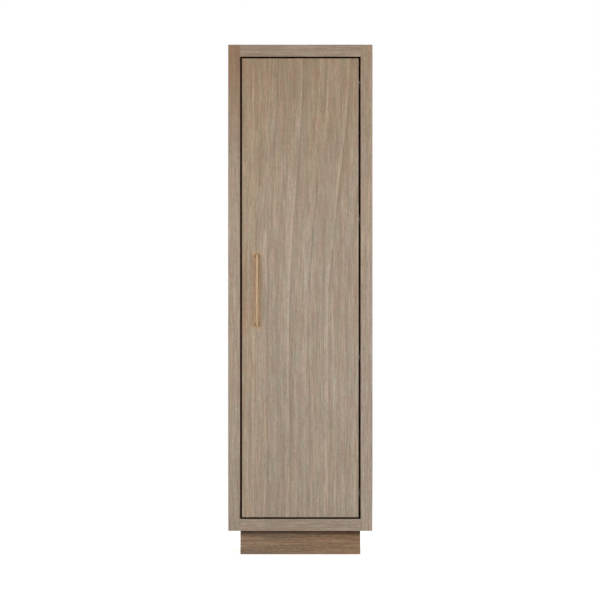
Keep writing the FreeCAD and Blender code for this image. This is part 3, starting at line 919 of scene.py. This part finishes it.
def gathered(parts: Iterable[tuple[Shape, Matrix]]) -> Shape:
    """Copy shapes, each to its own place, into one mesh.

    Args:
        parts: Each shape with its place. A shape may come more than once.

    Returns:
        All copies together.
    """
    whole = bmesh.new()
    for shape, matrix in parts:
        mesh = bpy.data.meshes.new("copy")
        shape.to_mesh(mesh)
        mesh.transform(matrix)
        whole.from_mesh(mesh)
        bpy.data.meshes.remove(mesh)
    return whole


def copied(node: str) -> Shape:
    """Copy a CAD node's mesh.

    Args:
        node: The node's name.

    Returns:
        A closed shape with its flat faces whole.
    """
    shape = bmesh.new()
    shape.from_mesh(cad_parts[node].data)
    bmesh.ops.remove_doubles(shape, verts=shape.verts, dist=TINY)
    bmesh.ops.dissolve_limit(shape, angle_limit=FLAT, verts=shape.verts, edges=shape.edges)
    return shape


def solids(node: str) -> list[Box]:
    """Find the separate solids of a CAD node.

    Args:
        node: The node's name.

    Returns:
        Lowest and highest corner of each, in order of height, then depth, then width.
    """
    shape = copied(node)
    boxes = []
    for start in shape.verts:
        if start.tag:
            continue
        start.tag = True
        found = [start]
        for vert in found:
            for edge in vert.link_edges:
                other = edge.other_vert(vert)
                if not other.tag:
                    other.tag = True
                    found.append(other)
        low, high = (Vector([end(vert.co[axis] for vert in found) for axis in range(3)])
                     for end in (min, max))
        boxes.append((low, high))
    shape.free()
    return sorted(boxes, key=lambda box: tuple(round(box[0][axis], 4) for axis in (2, 1, 0)))


def along(edge: bmesh.types.BMEdge, axis: int) -> bool:
    """Whether an edge runs along one axis."""
    run = edge.verts[1].co - edge.verts[0].co
    return abs(run[axis]) > run.length * STRAIGHT


def middle(box: Box) -> Vector:
    """Middle of a box."""
    return (box[0] + box[1]) / 2


def facing(direction: Sequence[float], place: Vector) -> Matrix:
    """Place and turn for a shape whose Z should point in a direction."""
    return Matrix.Translation(place) @ Vector(direction).to_track_quat("Z", "Y").to_matrix().to_4x4()


def shown(name: str, shape: Shape, material: bpy.types.Material, body: str,
          nodes: Iterable[str] = ()) -> None:
    """Make a finished piece.

    Args:
        name: The piece's name.
        shape: Its shape, which is freed.
        material: Its material.
        body: The body that it rides on.
        nodes: CAD nodes that it stands for.
    """
    for face in shape.faces:
        face.smooth = True
    for edge in shape.edges:
        edge.smooth = len(edge.link_faces) == 2 and edge.calc_face_angle() < CRISP
    mesh = bpy.data.meshes.new(name)
    shape.to_mesh(mesh)
    shape.free()
    mesh.materials.append(material)
    piece = bpy.data.objects.new(name, mesh)
    bpy.context.scene.collection.objects.link(piece)
    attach(piece, body)
    if nodes:
        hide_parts(*nodes)
    LOG.info("made %s with %d faces", name, len(mesh.polygons))


@dataclass(frozen=True)
class Screw:
    """Screw with a domed head, a cross recess and a ringed shank, along Z with its seat at zero."""

    head_d: float
    head_h: float
    shank_d: float
    length: float
    crown: float = 0.5
    pitch: float = 1.3 * MM

    SIDES = 24
    DOME_STEPS = 5
    SEAT = 0.98
    CORE = 0.74
    RING_FROM = 0.35
    RING_TO = 0.6
    RUN_OUT = 0.3
    SLOT_REACH = 0.31
    SLOT_HALF = 0.065
    SLOT_TAPER = (0.45, 0.8, 1.0)
    SLOT_FLOOR = 0.35
    SLOT_TURNS = (0, 90)
    FIRST_TURN = 20

    def shape(self) -> Shape:
        """Build the screw.

        Returns:
            One closed shape with its head above zero and its tip below.
        """
        shape = lathe(self.head() + self.thread(), self.SIDES)
        for turn in self.SLOT_TURNS:
            shape = combined(shape, self.driver_slot(turn), Combine.CUT)
        return shape

    def head(self) -> list[Point]:
        """Draw the head.

        Returns:
            Its profile from its crown to its seat.
        """
        radius, high = self.head_d / 2, self.head_h
        low = high * (1 - self.crown)
        angles = [math.pi / 2 * step / self.DOME_STEPS for step in range(self.DOME_STEPS + 1)]
        dome = [(radius * math.sin(angle), low + (high - low) * math.cos(angle)) for angle in angles]
        return dome + [(radius * self.SEAT, 0.0), (self.shank_d / 2, 0.0)]

    def thread(self) -> list[Point]:
        """Draw the shank.

        Returns:
            The profile of its rings and its tip.
        """
        radius = self.shank_d / 2
        core = radius * self.CORE
        points = []
        for ring in range(int((self.length - self.shank_d) / self.pitch)):
            depth = -(ring + 0.5) * self.pitch
            points += [(core, depth), (core, depth - self.pitch * self.RING_FROM),
                       (radius, depth - self.pitch * self.RING_TO)]
        return points + [(core, points[-1][1] - self.pitch * self.RUN_OUT), (0.0, -self.length)]

    def driver_slot(self, turn: float) -> Shape:
        """Make one of the recess's two tapered slots.

        Args:
            turn: Degrees that it is turned by.

        Returns:
            The shape to cut away.
        """
        reach, half = self.head_d * self.SLOT_REACH, self.head_d * self.SLOT_HALF
        slot = block((-reach, -half, 0), (reach, half, self.head_h))
        bmesh.ops.scale(slot, vec=self.SLOT_TAPER, verts=[vert for vert in slot.verts if vert.co.z < TINY])
        spin = Matrix.Rotation(math.radians(turn), 3, "Z")
        bmesh.ops.rotate(slot, cent=(0, 0, 0), matrix=spin, verts=slot.verts)
        bmesh.ops.translate(slot, vec=(0, 0, self.head_h * self.SLOT_FLOOR), verts=slot.verts)
        return slot

    def at(self, node: str, out: Sequence[float], turns: float) -> Shape:
        """Put a copy in the place of each of a CAD node's screws.

        Args:
            node: The node that holds the screws.
            out: Direction that their heads face, along one axis.
            turns: Degrees that each recess is turned past the one before.

        Returns:
            All the screws in one shape.
        """
        shape = self.shape()
        out = Vector(out)
        parts = []
        for index, box in enumerate(solids(node)):
            half = (box[1] - box[0]) / 2
            crown = middle(box) + Vector([half[axis] * out[axis] for axis in range(3)])
            spin = Matrix.Rotation(math.radians(self.FIRST_TURN + turns * index), 4, "Z")
            parts.append((shape, facing(out, crown - out * self.head_h) @ spin))
        whole = gathered(parts)
        shape.free()
        return whole


@dataclass(frozen=True)
class BoardLook:
    """Tone of one board of the case, its warmth, how much painted shade darkens it towards the top, and its
    gloss.
    """

    tone: Rgb = (166, 148, 129)
    warmth: float = 0.5
    painted_top_shade: float = 0.8
    gloss: float = 0.5


def slab() -> list[str]:
    """Nodes of the door's core and lippings."""
    return [name for name in named("door_") if name != "door_stop"]


def gap() -> GapShade:
    """Measure the gap between the door and its opening.

    Returns:
        The dark finish on both sides of it.
    """
    door = [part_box(name) for name in slab()]
    low = Vector([min(box[0][axis] for box in door) for axis in range(3)])
    high = Vector([max(box[1][axis] for box in door) for axis in range(3)])
    left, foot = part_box("stile_left")[1].x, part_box("rail_bottom")[1].z
    right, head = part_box("stile_right")[0].x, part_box("rail_top")[0].z
    return GapShade((low, high), (Vector((left, low.y, foot)), Vector((right, high.y, head))), low.y)


@dataclass
class Case:
    """Panels, frame and inner strips of the case."""

    looks: dict[str, BoardLook] = field(default_factory=lambda: {
        "stile_left": BoardLook(painted_top_shade=2.2),
        "stile_right": BoardLook((168, 149, 129), 1.2, 0.2),
        "rail_top": BoardLook(painted_top_shade=0.3),
        # The door stop, seen at the back of the gap, is painted dark brown without gloss: painted shade for
        # the gap.
        "door_stop": BoardLook((80, 48, 24), 0.5, 0.0, 0.0),
    })
    screw: Screw = Screw(7 * MM, 2.2 * MM, 3.5 * MM, 17.8 * MM)
    screw_turns: float = 37
    zinc: Metal = Metal("back_screw_zinc", (196, 196, 194), 0.33)
    pad_radius: float = 4 * MM
    pad_top: float = 0.6
    pad_side: float = 0.3
    pad_edge: float = 0.6 * MM
    pad_sides: int = 28

    FIRST_SEED = 1
    UPRIGHT = ("side_panel_left", "side_panel_right", "stile_left", "stile_right", "hinge_strip", "door_stop",
               "back_panel")
    ACROSS = ("top_panel", "bottom_panel", "rail_top", "rail_bottom", "anchor_rail")
    FRAME = ("stile", "rail")

    def build(self) -> None:
        """Dress the case and fit its small metalwork."""
        gap_shade = gap()
        for seed, name in enumerate(self.UPRIGHT + self.ACROSS, self.FIRST_SEED):
            look = self.looks.get(name, BoardLook())
            grain = Grain.UPRIGHT if name in self.UPRIGHT else Grain.ACROSS
            oak = Oak(name + "_oak", grain, seed, look.tone, warmth=look.warmth, painted_top_shade=look.painted_top_shade,
                      gloss=look.gloss, gap_shade=gap_shade if name.startswith(self.FRAME) else None)
            dress([name], oak.material())
        self.make_bumpers()
        screws = self.screw.at("back_panel_screws", (0, 1, 0), self.screw_turns)
        shown("back_screws", screws, self.zinc.material(), "case", ["back_panel_screws"])

    def make_bumpers(self) -> None:
        """Make the domed pads that the door closes against."""
        boxes = solids("bumpers")
        high, radius = boxes[0][1].y - boxes[0][0].y, self.pad_radius
        profile = [(0, high), (radius * self.pad_top, high), (radius, high * self.pad_side), (radius, 0),
                   (0, 0)]
        pad = lathe(rounded(profile, self.pad_edge), self.pad_sides)
        parts = [(pad, facing((0, -1, 0), Vector((middle(box).x, box[1].y, middle(box).z)))) for box in boxes]
        shown("bumper_pads", gathered(parts), Rubber("bumper_rubber").material(), "case",
              ["bumpers"])
        pad.free()


@dataclass
class Supports:
    """Metal shelf supports: a stub in the side, a plate against it and a ledge under the shelf."""

    stub_d: float = 5 * MM
    stub_drop: float = 5.5 * MM
    stub_edge: float = 0.7 * MM
    stub_sides: int = 24
    ledge_t: float = 2.5 * MM
    plate_t: float = 2 * MM
    edge: float = 0.45 * MM
    nickel: Metal = Metal("support_nickel", (190, 188, 182), 0.3)

    def build(self) -> None:
        """Model the supports on the right and turn them for the left."""
        inner = abs(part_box("side_panel_right")[0].x)
        boxes = solids("shelf_supports")
        low, high = boxes[0]
        near, far = sorted((abs(low.x), abs(high.x)))
        support = self.support(high.y - low.y, high.z - low.z, inner - near, far - inner)
        parts = []
        for box in boxes:
            right = middle(box).x > 0
            place = Matrix.Translation((inner if right else -inner, middle(box).y, box[1].z))
            parts.append((support, place @ Matrix.Rotation(0 if right else math.pi, 4, "Z")))
        shown("shelf_pegs", gathered(parts), self.nickel.material(), "case", ["shelf_supports"])
        support.free()

    def support(self, wide: float, deep: float, reach: float, stub: float) -> Shape:
        """Make one support, with the side's face at X zero and the shelf's underside at Z zero.

        Args:
            wide: Width of its plate and ledge.
            deep: Height of its plate.
            reach: Length of its ledge.
            stub: Length of its stub in the side.

        Returns:
            A closed shape.
        """
        outline = [(0, 0), (0, -deep), (-self.plate_t, -deep), (-self.plate_t, -self.ledge_t),
                   (-reach, -self.ledge_t), (-reach, 0)]
        bent = turned(extruded(outline, -wide / 2, wide / 2), Matrix.Rotation(math.pi / 2, 4, "X"))
        radius, start = self.stub_d / 2, -self.plate_t / 2
        profile = [(0, stub), (radius, stub), (radius, start), (0, start)]
        pin = lathe(rounded(profile, self.stub_edge), self.stub_sides)
        pin = turned(pin, facing((1, 0, 0), Vector((0, 0, -self.stub_drop))))
        return combined(bevelled(bent, self.edge, 3), pin, Combine.JOIN)


@dataclass
class Plinth:
    """Boards, blocks and screws under the case."""

    tone: Rgb = (147, 122, 98)
    pine: Rgb = (199, 170, 128)
    front_seed: int = 20
    side_seed: int = 22
    pine_seed: int = 24
    screw: Screw = Screw(9 * MM, 2.2 * MM, 4.5 * MM, 42 * MM, pitch=2 * MM)
    screw_turns: float = 50
    zinc: Metal = Metal("plinth_screw_zinc", (192, 192, 190), 0.36)

    def build(self) -> None:
        """Dress the plinth and fit its screws."""
        for seed, name in enumerate(("plinth_front", "plinth_rear"), self.front_seed):
            # Each board gets a painted shade at its top, under the case's overhang.
            oak = Oak(name + "_oak", Grain.ACROSS, seed, self.tone, contrast=1.4, scale=1.5, warmth=1.6,
                      warm_axis=Grain.ACROSS, warm_from=-0.25, warm_to=0.25, gloss=0.3,
                      head=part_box(name)[1].z)
            dress([name], oak.material())
        for seed, name in enumerate(("plinth_left", "plinth_right"), self.side_seed):
            dress([name], Oak(name + "_oak", Grain.INWARD, seed, self.tone).material())
        pine = Oak("block_pine", Grain.UPRIGHT, self.pine_seed, self.pine, contrast=0.5)
        dress(["plinth_corner_blocks"], pine.material())
        screws = self.screw.at("plinth_screws", (0, 0, -1), self.screw_turns)
        shown("block_screws", screws, self.zinc.material(), "case", ["plinth_screws"])


@dataclass
class Door:
    """Slab door with its edges, in one run of veneer."""

    seed: int = 30
    tone: Rgb = (166, 148, 128)
    lines: tuple[GrowthLine, ...] = (
        GrowthLine(-0.221, 0.10, 0.02, 6 * MM),
        GrowthLine(-0.196, 0.09, -0.09, 12 * MM),
        GrowthLine(-0.143, 0.02, -0.12, 12 * MM),
        GrowthLine(-0.048, 0.13, -0.17, 20 * MM),
        GrowthLine(0.017, 0.09, 0.02, 8 * MM),
        GrowthLine(0.039, -0.16, 0.11, 12 * MM),
        GrowthLine(0.117, 0.13, -0.13, 20 * MM),
        GrowthLine(0.190, 0.02, -0.10, 14 * MM),
    )
    lean: float = 57 * MM
    lean_spread: float = 0.185
    lean_start: float = 0.41
    dark_patch_x: float = -238 * MM

    def build(self) -> None:
        """Dress the door."""
        low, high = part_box("door_panel")
        lean_from = low.z + self.lean_start * (high.z - low.z)
        oak = Oak("door_oak", Grain.UPRIGHT, self.seed, self.tone, warmth=0.8, warmth_left=0.6, lean=self.lean,
                  lean_spread=self.lean_spread, lean_from=lean_from, lean_to=high.z, painted_top_shade=0.8,
                  lines=self.lines, gap_shade=gap(), pull_patches=self.patches(low.y))
        dress(slab(), oak.material())

    def patches(self, front: float) -> tuple[PullPatch, ...]:
        """Find the tinted patches by the pull.

        Args:
            front: Y of the door's front.

        Returns:
            A warm patch behind the pull, which is a painted reflection of the brass, and a darker one between
            it and the door's edge.
        """
        low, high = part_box("pull_bar")
        # Painted warm reflection of the brass bar on the veneer round it.
        behind = PullPatch(middle((low, high)).x, low.z, high.z, front, flat=0.0, reach=32 * MM, fade=22 * MM,
                         tint=(1.29, 1.03, 0.77))
        # A darker patch between the pull and the door's left edge.
        beside = PullPatch(self.dark_patch_x, low.z, high.z, front, flat=11 * MM, reach=24 * MM, fade=60 * MM,
                         tint=(0.87, 0.80, 0.70))
        return behind, beside


@dataclass
class Shelves:
    """Loose shelves."""

    first_seed: int = 40
    tone: Rgb = (172, 154, 135)

    def build(self) -> None:
        """Dress each shelf."""
        boards = [name for name in named("shelf_") if name != "shelf_supports"]
        for seed, name in enumerate(boards, self.first_seed):
            dress([name], Oak(name + "_oak", Grain.ACROSS, seed, self.tone).material())


@dataclass
class Pull:
    """Round bar on two posts with small feet, and its screws from inside the door."""

    end_radius: float = 1.2 * MM
    end_steps: int = 4
    rod_sides: int = 48
    sink: float = 0.8 * MM
    foot_margin: float = 5.5 * MM
    foot_t: float = 2.4 * MM
    foot_rise: float = 3.6 * MM
    foot_edge: float = 0.6 * MM
    post_sides: int = 36
    screw: Screw = Screw(8 * MM, 2.4 * MM, 4 * MM, 34 * MM, crown=0.7, pitch=1.1 * MM)
    screw_turns: float = 25
    brass: Metal = Metal("satin_brass", (148, 128, 103), 0.36)
    # The posts and their feet are a darker brass than the bar: painted shade for the shadows that the posts
    # cast on the door.
    post_shade_brass: Metal = Metal("painted_shade_brass", (112, 90, 62), 0.42)
    zinc: Metal = Metal("pull_screw_zinc", (192, 192, 190), 0.36)

    def build(self) -> None:
        """Turn the bar and the posts, and fit the screws."""
        low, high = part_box("pull_bar")
        centre = middle((low, high))
        radius = min(high.x - low.x, high.y - low.y) / 2
        profile = [(0, high.z), (radius, high.z), (radius, low.z), (0, low.z)]
        rod = lathe(rounded(profile, self.end_radius, self.end_steps), self.rod_sides)
        rod = turned(rod, Matrix.Translation((centre.x, centre.y, 0)))
        shown("pull_rod", rod, self.brass.material(), "door", ["pull_bar"])
        parts = []
        for box in solids("pull_posts"):
            foot = Vector((centre.x, box[1].y, middle(box).z))
            post = self.post(foot.y - centre.y - radius + self.sink, (box[1].x - box[0].x) / 2)
            parts.append((post, facing((0, -1, 0), foot)))
        shown("pull_stems", gathered(parts), self.post_shade_brass.material(), "door", ["pull_posts"])
        screws = self.screw.at("pull_screws", (0, 1, 0), self.screw_turns)
        shown("pull_bolts", screws, self.zinc.material(), "door", ["pull_screws"])

    def post(self, length: float, radius: float) -> Shape:
        """Turn one post along Z, with a wider foot at zero and its head a little way into the bar.

        Args:
            length: Its length.
            radius: Radius of its stem.

        Returns:
            A closed shape.
        """
        foot = radius + self.foot_margin
        profile = [(0, 0), (foot, 0), (foot, self.foot_t), (radius, self.foot_rise), (radius, length),
                   (0, length)]
        return lathe(rounded(profile, self.foot_edge), self.post_sides)


@dataclass
class Hinges:
    """Concealed hinges: cups in the door, arms on plates, links and pins between them."""

    cup_axis: float = 225.5 * MM
    cup_radius: float = 17.4 * MM
    cup_wall: float = 1.2 * MM
    cup_floor: float = 0.8 * MM
    cup_edge: float = 0.5 * MM
    cup_sides: int = 64
    flange_radius: float = 18.3 * MM
    flange_t: float = 1.2 * MM
    ear_left: float = -17 * MM
    ear_right: float = 5 * MM
    ear_corner: float = 5.5 * MM
    ear_edge: float = 0.3 * MM
    ear_sharper: float = 50
    corner_steps: int = 6
    bend_steps: int = 4
    lug_in: float = 6.3 * MM
    lug_t: float = 2 * MM
    lug_half: float = 2.75 * MM
    lug_round: float = 0.9
    fold: float = 0.28 * MM
    nose: float = 2.96 * MM
    nose_found: float = 0.1 * MM
    nose_round: float = 0.85 * MM
    foot_corner: float = 7 * MM
    foot_round: float = 2.2 * MM
    link_edge: float = 0.18 * MM
    eye_radius: float = 2.15 * MM
    eye_proud: float = 0.05 * MM
    eye_edge: float = 0.25 * MM
    eye_sides: int = 28
    pin_radius: float = 1.25 * MM
    pin_edge: float = 0.4 * MM
    pin_sides: int = 24
    carrier_half: float = 3 * MM
    strap_in: float = 3.3 * MM
    strap_out: float = 4.5 * MM
    strap_pin: Point = (232.78 * MM, -238.3 * MM)
    plate_screw: Screw = Screw(7 * MM, 2.2 * MM, 3.5 * MM, 16 * MM, crown=0.7)
    cup_screw: Screw = Screw(7 * MM, 2.2 * MM, 3.5 * MM, 14 * MM, crown=0.7)
    clamp_screw: Screw = Screw(8 * MM, 2 * MM, 5 * MM, 9 * MM, crown=0.35, pitch=0.8 * MM)
    depth_screw: Screw = Screw(6.4 * MM, 1 * MM, 3 * MM, 4.5 * MM, crown=0.3, pitch=0.6 * MM)
    depth_from_clamp: float = 13 * MM
    screw_turns: float = 31

    @cached_property
    def nickel(self) -> bpy.types.Material:
        """Finish of the cups, arms, plates and links."""
        return Metal("hinge_nickel", (186, 182, 174), 0.27).material()

    @cached_property
    def zinc(self) -> bpy.types.Material:
        """Finish of the pins and screws."""
        return Metal("hinge_zinc", (196, 196, 194), 0.33).material()

    def build(self) -> None:
        """Model every hinge and put its screws in."""
        for index in (int(name[-1]) for name in named("hinge_cup_") if name[-1].isdigit()):
            self.make_hinge(index)
        arm_pins = [middle(box) for box in solids("hinge_arm_pins")]
        carrier_ends = [middle(box) for box in solids("hinge_cup_pins")] + arm_pins[1::2]
        strap_ends = [Vector((*self.strap_pin, pin.z)) for pin in arm_pins[::2]] + arm_pins[::2]
        self.make_links("carrier_links", carrier_ends, [(-self.carrier_half, self.carrier_half)])
        self.make_links("strap_links", strap_ends,
                        [(-self.strap_out, -self.strap_in), (self.strap_in, self.strap_out)])
        self.make_pins("arm_pins", "hinge_arm_pins", "case")
        self.make_pins("cup_pins", "hinge_cup_pins", "door")
        left, back = (-1, 0, 0), (0, 1, 0)
        for name, screw, out, body in (("plate_screws", self.plate_screw, left, "case"),
                                       ("clamp_screws", self.clamp_screw, left, "case"),
                                       ("cup_screws", self.cup_screw, back, "door")):
            node = "hinge_" + name
            shown(name, screw.at(node, out, self.screw_turns), self.zinc, body, [node])
        self.make_depth_screws()

    def make_hinge(self, index: int) -> None:
        """Make one hinge's cup, arm and plate.

        Args:
            index: The hinge's number, from the lowest.
        """
        node = f"hinge_cup_{index}"
        low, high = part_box(node)
        centre = Vector((self.cup_axis, low.y, middle((low, high)).z))
        place = Matrix.Translation(centre) @ Matrix.Rotation(-math.pi / 2, 4, "X")
        shape = turned(self.cup(high.y - low.y, (high.z - low.z) / 2), place)
        shown(f"cup_{index}", shape, self.nickel, "door", [node])
        for part, softened in (("arm", self.arm), ("plate", self.plate)):
            node = f"hinge_{part}_{index}"
            shown(f"{part}_{index}", bevelled(softened(node), self.fold), self.nickel, "case",
                  [node])

    def arm(self, node: str) -> Shape:
        """Copy an arm with its nose rounded about the strap's pin.

        Args:
            node: The arm's node.

        Returns:
            A closed shape.
        """
        shape = copied(node)
        pin = middle(solids("hinge_arm_pins")[0]).xy
        corners = [edge for edge in shape.edges if along(edge, 2)
                   and abs((edge.verts[0].co.xy - pin).length - self.nose) < self.nose_found]
        return eased(shape, corners, self.nose_round, self.bend_steps)

    def plate(self, node: str) -> Shape:
        """Copy a plate with its foot's corners rounded.

        Args:
            node: The plate's node.

        Returns:
            A closed shape.
        """
        shape = copied(node)
        low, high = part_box(node)
        reach = (high.z - low.z) / 2 - self.foot_corner
        level = middle((low, high)).z
        corners = [edge for edge in shape.edges if along(edge, 0)
                   and abs(edge.verts[0].co.z - level) > reach and edge.calc_length() > TINY]
        return eased(shape, corners, self.foot_round, self.bend_steps)

    def cup(self, high: float, reach: float) -> Shape:
        """Make one cup with its mouth up and its pan's underside at Z zero.

        Args:
            high: Height of the whole cup.
            reach: Half the length over both ears.

        Returns:
            The pan with its flange, ears and lugs.
        """
        outer, flange, floor = self.cup_radius, self.flange_radius, self.cup_floor
        back, inner = high - self.flange_t, outer - self.cup_wall
        profile = [(0, 0), (outer, 0), (outer, back), (flange, back), (flange, high), (inner, high),
                   (inner, floor), (0, floor)]
        pan = lathe(rounded(profile, self.cup_edge), self.cup_sides)
        ears = block((self.ear_left, -reach, back), (self.ear_right, reach, high))
        corners = [edge for edge in ears.edges if along(edge, 2)]
        ears = eased(ears, corners, self.ear_corner, self.corner_steps)
        ears = bevelled(ears, self.ear_edge, sharper=self.ear_sharper)
        rim, under, over = (inner + flange) / 2, back - self.flange_t, high + self.flange_t
        mouth = lathe([(0, under), (rim, under), (rim, over), (0, over)], self.cup_sides)
        cup = combined(pan, combined(ears, mouth, Combine.CUT), Combine.JOIN)
        pin = middle(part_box("hinge_cup_pins"))
        pin_x, pin_z = pin.x - self.cup_axis, pin.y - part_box("hinge_cup_1")[0].y
        for side in (-1, 1):
            near, far = sorted((side * self.lug_in, side * (self.lug_in + self.lug_t)))
            lug = block((pin_x - self.lug_half, near, floor / 2),
                        (pin_x + self.lug_half, far, pin_z + self.lug_half))
            top = [edge for edge in lug.edges if along(edge, 1) and edge.verts[0].co.z > pin_z]
            lug = eased(lug, top, self.lug_half * self.lug_round, self.corner_steps)
            cup = combined(cup, lug, Combine.JOIN)
        return cup

    def make_links(self, body: str, ends: Sequence[Vector], spans: Sequence[Point]) -> None:
        """Soften a set of links and give each end a round eye.

        Args:
            body: Body and node of the links.
            ends: Centres of the pins that they turn on.
            spans: Height of each eye's foot and head from its pin's middle.
        """
        parts = [(bevelled(copied(body), self.link_edge), Matrix())]
        for low, high in spans:
            low, high = low - self.eye_proud, high + self.eye_proud
            profile = [(0, high), (self.eye_radius, high), (self.eye_radius, low), (0, low)]
            eye = lathe(rounded(profile, self.eye_edge), self.eye_sides)
            parts += [(eye, Matrix.Translation(end)) for end in ends]
        shown(body + "_softened", gathered(parts), self.nickel, body, [body])

    def make_pins(self, name: str, node: str, body: str) -> None:
        """Make round pins with soft ends.

        Args:
            name: The piece's name.
            node: CAD node that holds the pins.
            body: The body that they ride on.
        """
        parts = []
        for box in solids(node):
            half, radius = (box[1].z - box[0].z) / 2, self.pin_radius
            profile = [(0, half), (radius, half), (radius, -half), (0, -half)]
            pin = lathe(rounded(profile, self.pin_edge), self.pin_sides)
            parts.append((pin, Matrix.Translation(middle(box))))
        shown(name, gathered(parts), self.zinc, body, [node])

    def make_depth_screws(self) -> None:
        """Put the second screw on each arm, which sets the door's depth."""
        shape = self.depth_screw.shape()
        parts = []
        for box in solids("hinge_clamp_screws"):
            centre = middle(box)
            seat = Vector((box[0].x + self.clamp_screw.head_h, centre.y + self.depth_from_clamp, centre.z))
            parts.append((shape, facing((-1, 0, 0), seat)))
        shown("depth_screws", gathered(parts), self.zinc, "case")
        shape.free()


@dataclass(frozen=True)
class Lamp:
    """Large soft lamp that looks at the cabinet, placed by its turn round it from the camera's side."""

    name: str
    turn: float
    rise: float
    distance: float
    size: float
    power: float

    TALL = 1.3
    COLOUR = (1.0, 0.985, 0.965)

    def build(self, target: Vector) -> None:
        """Hang the lamp.

        Args:
            target: Point that it looks at.
        """
        data = bpy.data.lights.new(self.name, "AREA")
        data.shape = "RECTANGLE"
        data.size = self.size
        data.size_y = self.size * self.TALL
        data.energy = self.power
        data.color = self.COLOUR
        lamp = bpy.data.objects.new(self.name, data)
        angle = math.radians(self.turn)
        lamp.location = target + Vector((math.sin(angle), -math.cos(angle), self.rise)) * self.distance
        lamp.rotation_euler = (target - lamp.location).to_track_quat("-Z", "Y").to_euler()
        bpy.context.scene.collection.objects.link(lamp)


@dataclass
class Studio:
    """Pale floor, soft lamps, white surroundings and the camera."""

    scale: float = 4.2253 * MM
    centre_x: float = 300.33
    centre_y: float = 299.88
    frame_px: float = 600.0
    distance: float = 16.0
    sensor: float = 36.0
    far: float = 100.0
    lamps: tuple[Lamp, ...] = (
        Lamp("lamp_left", -28.0, 0.08, 3.1, 1.3, 36.4),
        Lamp("lamp_right", 33.0, 0.08, 3.1, 1.3, 40.3),
        Lamp("lamp_rear_left", -128.0, 0.1, 3.4, 1.6, 26.0),
        Lamp("lamp_rear_right", 128.0, 0.1, 3.4, 1.6, 26.0),
        Lamp("lamp_top", 180.0, 2.0, 1.3, 1.4, 30.0),
    )
    ambient: float = 0.08
    floor_size: float = 14.0
    floor_paint: float = 0.8
    floor_glow: float = 0.76
    glow_from: float = 0.5
    glow_to: float = 2.0

    def build(self) -> None:
        """Make the studio."""
        target = Vector((0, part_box("stile_left")[0].y, middle(CAD_BOX).z))
        self.make_camera(target)
        self.make_world()
        self.make_floor()
        for lamp in self.lamps:
            lamp.build(target)
        bpy.context.scene.view_settings.view_transform = "Standard"

    def make_camera(self, target: Vector) -> None:
        """Look square at the front from the photograph's place.

        Args:
            target: Middle of the case's front.
        """
        data = bpy.data.cameras.new("camera")
        data.sensor_width = self.sensor
        data.lens = self.sensor * self.distance / (self.frame_px * self.scale)
        data.clip_end = self.far
        camera = bpy.data.objects.new("camera", data)
        x = (self.frame_px / 2 - self.centre_x) * self.scale
        z = target.z + (self.centre_y - self.frame_px / 2) * self.scale
        camera.location = (x, target.y - self.distance, z)
        camera.rotation_euler = (math.pi / 2, 0, 0)
        bpy.context.scene.collection.objects.link(camera)
        bpy.context.scene.camera = camera

    def seen(self, nodes: Nodes) -> Socket:
        """Tell the rays that show the surroundings from the rays that light the cabinet.

        Args:
            nodes: Tree that asks.

        Returns:
            1 for rays straight from the camera, or by way of gloss or glass, and 0 for others.
        """
        path = nodes.node("LightPath")
        seen = nodes.math("MAXIMUM", path.outputs["Is Camera Ray"], path.outputs["Is Glossy Ray"])
        return nodes.math("MAXIMUM", seen, path.outputs["Is Transmission Ray"])

    def make_world(self) -> None:
        """Make soft light from all round, white to the camera."""
        world = bpy.data.worlds.new("studio")
        world.use_nodes = True
        bpy.context.scene.world = world
        nodes = Nodes(world.node_tree)
        background = world.node_tree.nodes["Background"]
        background.inputs["Color"].default_value = (1, 1, 1, 1)
        level = nodes.math("MULTIPLY_ADD", self.seen(nodes), 1 - self.ambient, self.ambient)
        nodes.feed(background.inputs["Strength"], level)

    def make_floor(self) -> None:
        """Make a pale floor that looks white where it is lit and keeps the cabinet's shadow."""
        shape = bmesh.new()
        bmesh.ops.create_grid(shape, x_segments=1, y_segments=1, size=self.floor_size / 2)
        mesh = bpy.data.meshes.new("floor")
        shape.to_mesh(mesh)
        shape.free()
        mesh.materials.append(self.floor_material())
        floor = bpy.data.objects.new("floor", mesh)
        bpy.context.scene.collection.objects.link(floor)

    def floor_material(self) -> bpy.types.Material:
        """Paint the floor.

        Returns:
            Matte paint that glows white to the camera, less so near the cabinet.
        """
        shader = Shader("floor_paint")
        matte, glow, both = (shader.node(kind) for kind in ("BsdfDiffuse", "Emission", "AddShader"))
        matte.inputs["Color"].default_value = (self.floor_paint, self.floor_paint, self.floor_paint, 1)
        x, y, _ = shader.split(shader.place())
        away = shader.math("SQRT", shader.math("ADD", shader.times(x, x), shader.times(y, y)))
        far = shader.between(away, self.glow_from, self.glow_to)
        level = shader.math("MULTIPLY_ADD", far, 1 - self.floor_glow, self.floor_glow)
        shader.feed(glow.inputs["Strength"], shader.times(self.seen(shader), level))
        shader.feed(both.inputs[0], matte.outputs[0])
        shader.feed(both.inputs[1], glow.outputs[0])
        shader.feed(shader.output.inputs["Surface"], both.outputs[0])
        return shader.material


def main() -> None:
    """Build and dress the cabinet."""
    logging.basicConfig(level=logging.INFO, format="%(name)s: %(message)s")
    for part in (Studio(), Case(), Supports(), Plinth(), Door(), Shelves(), Pull(), Hinges()):
        part.build()
        LOG.info("built %s", type(part).__name__.lower())


if __name__ == "__main__":
    main()
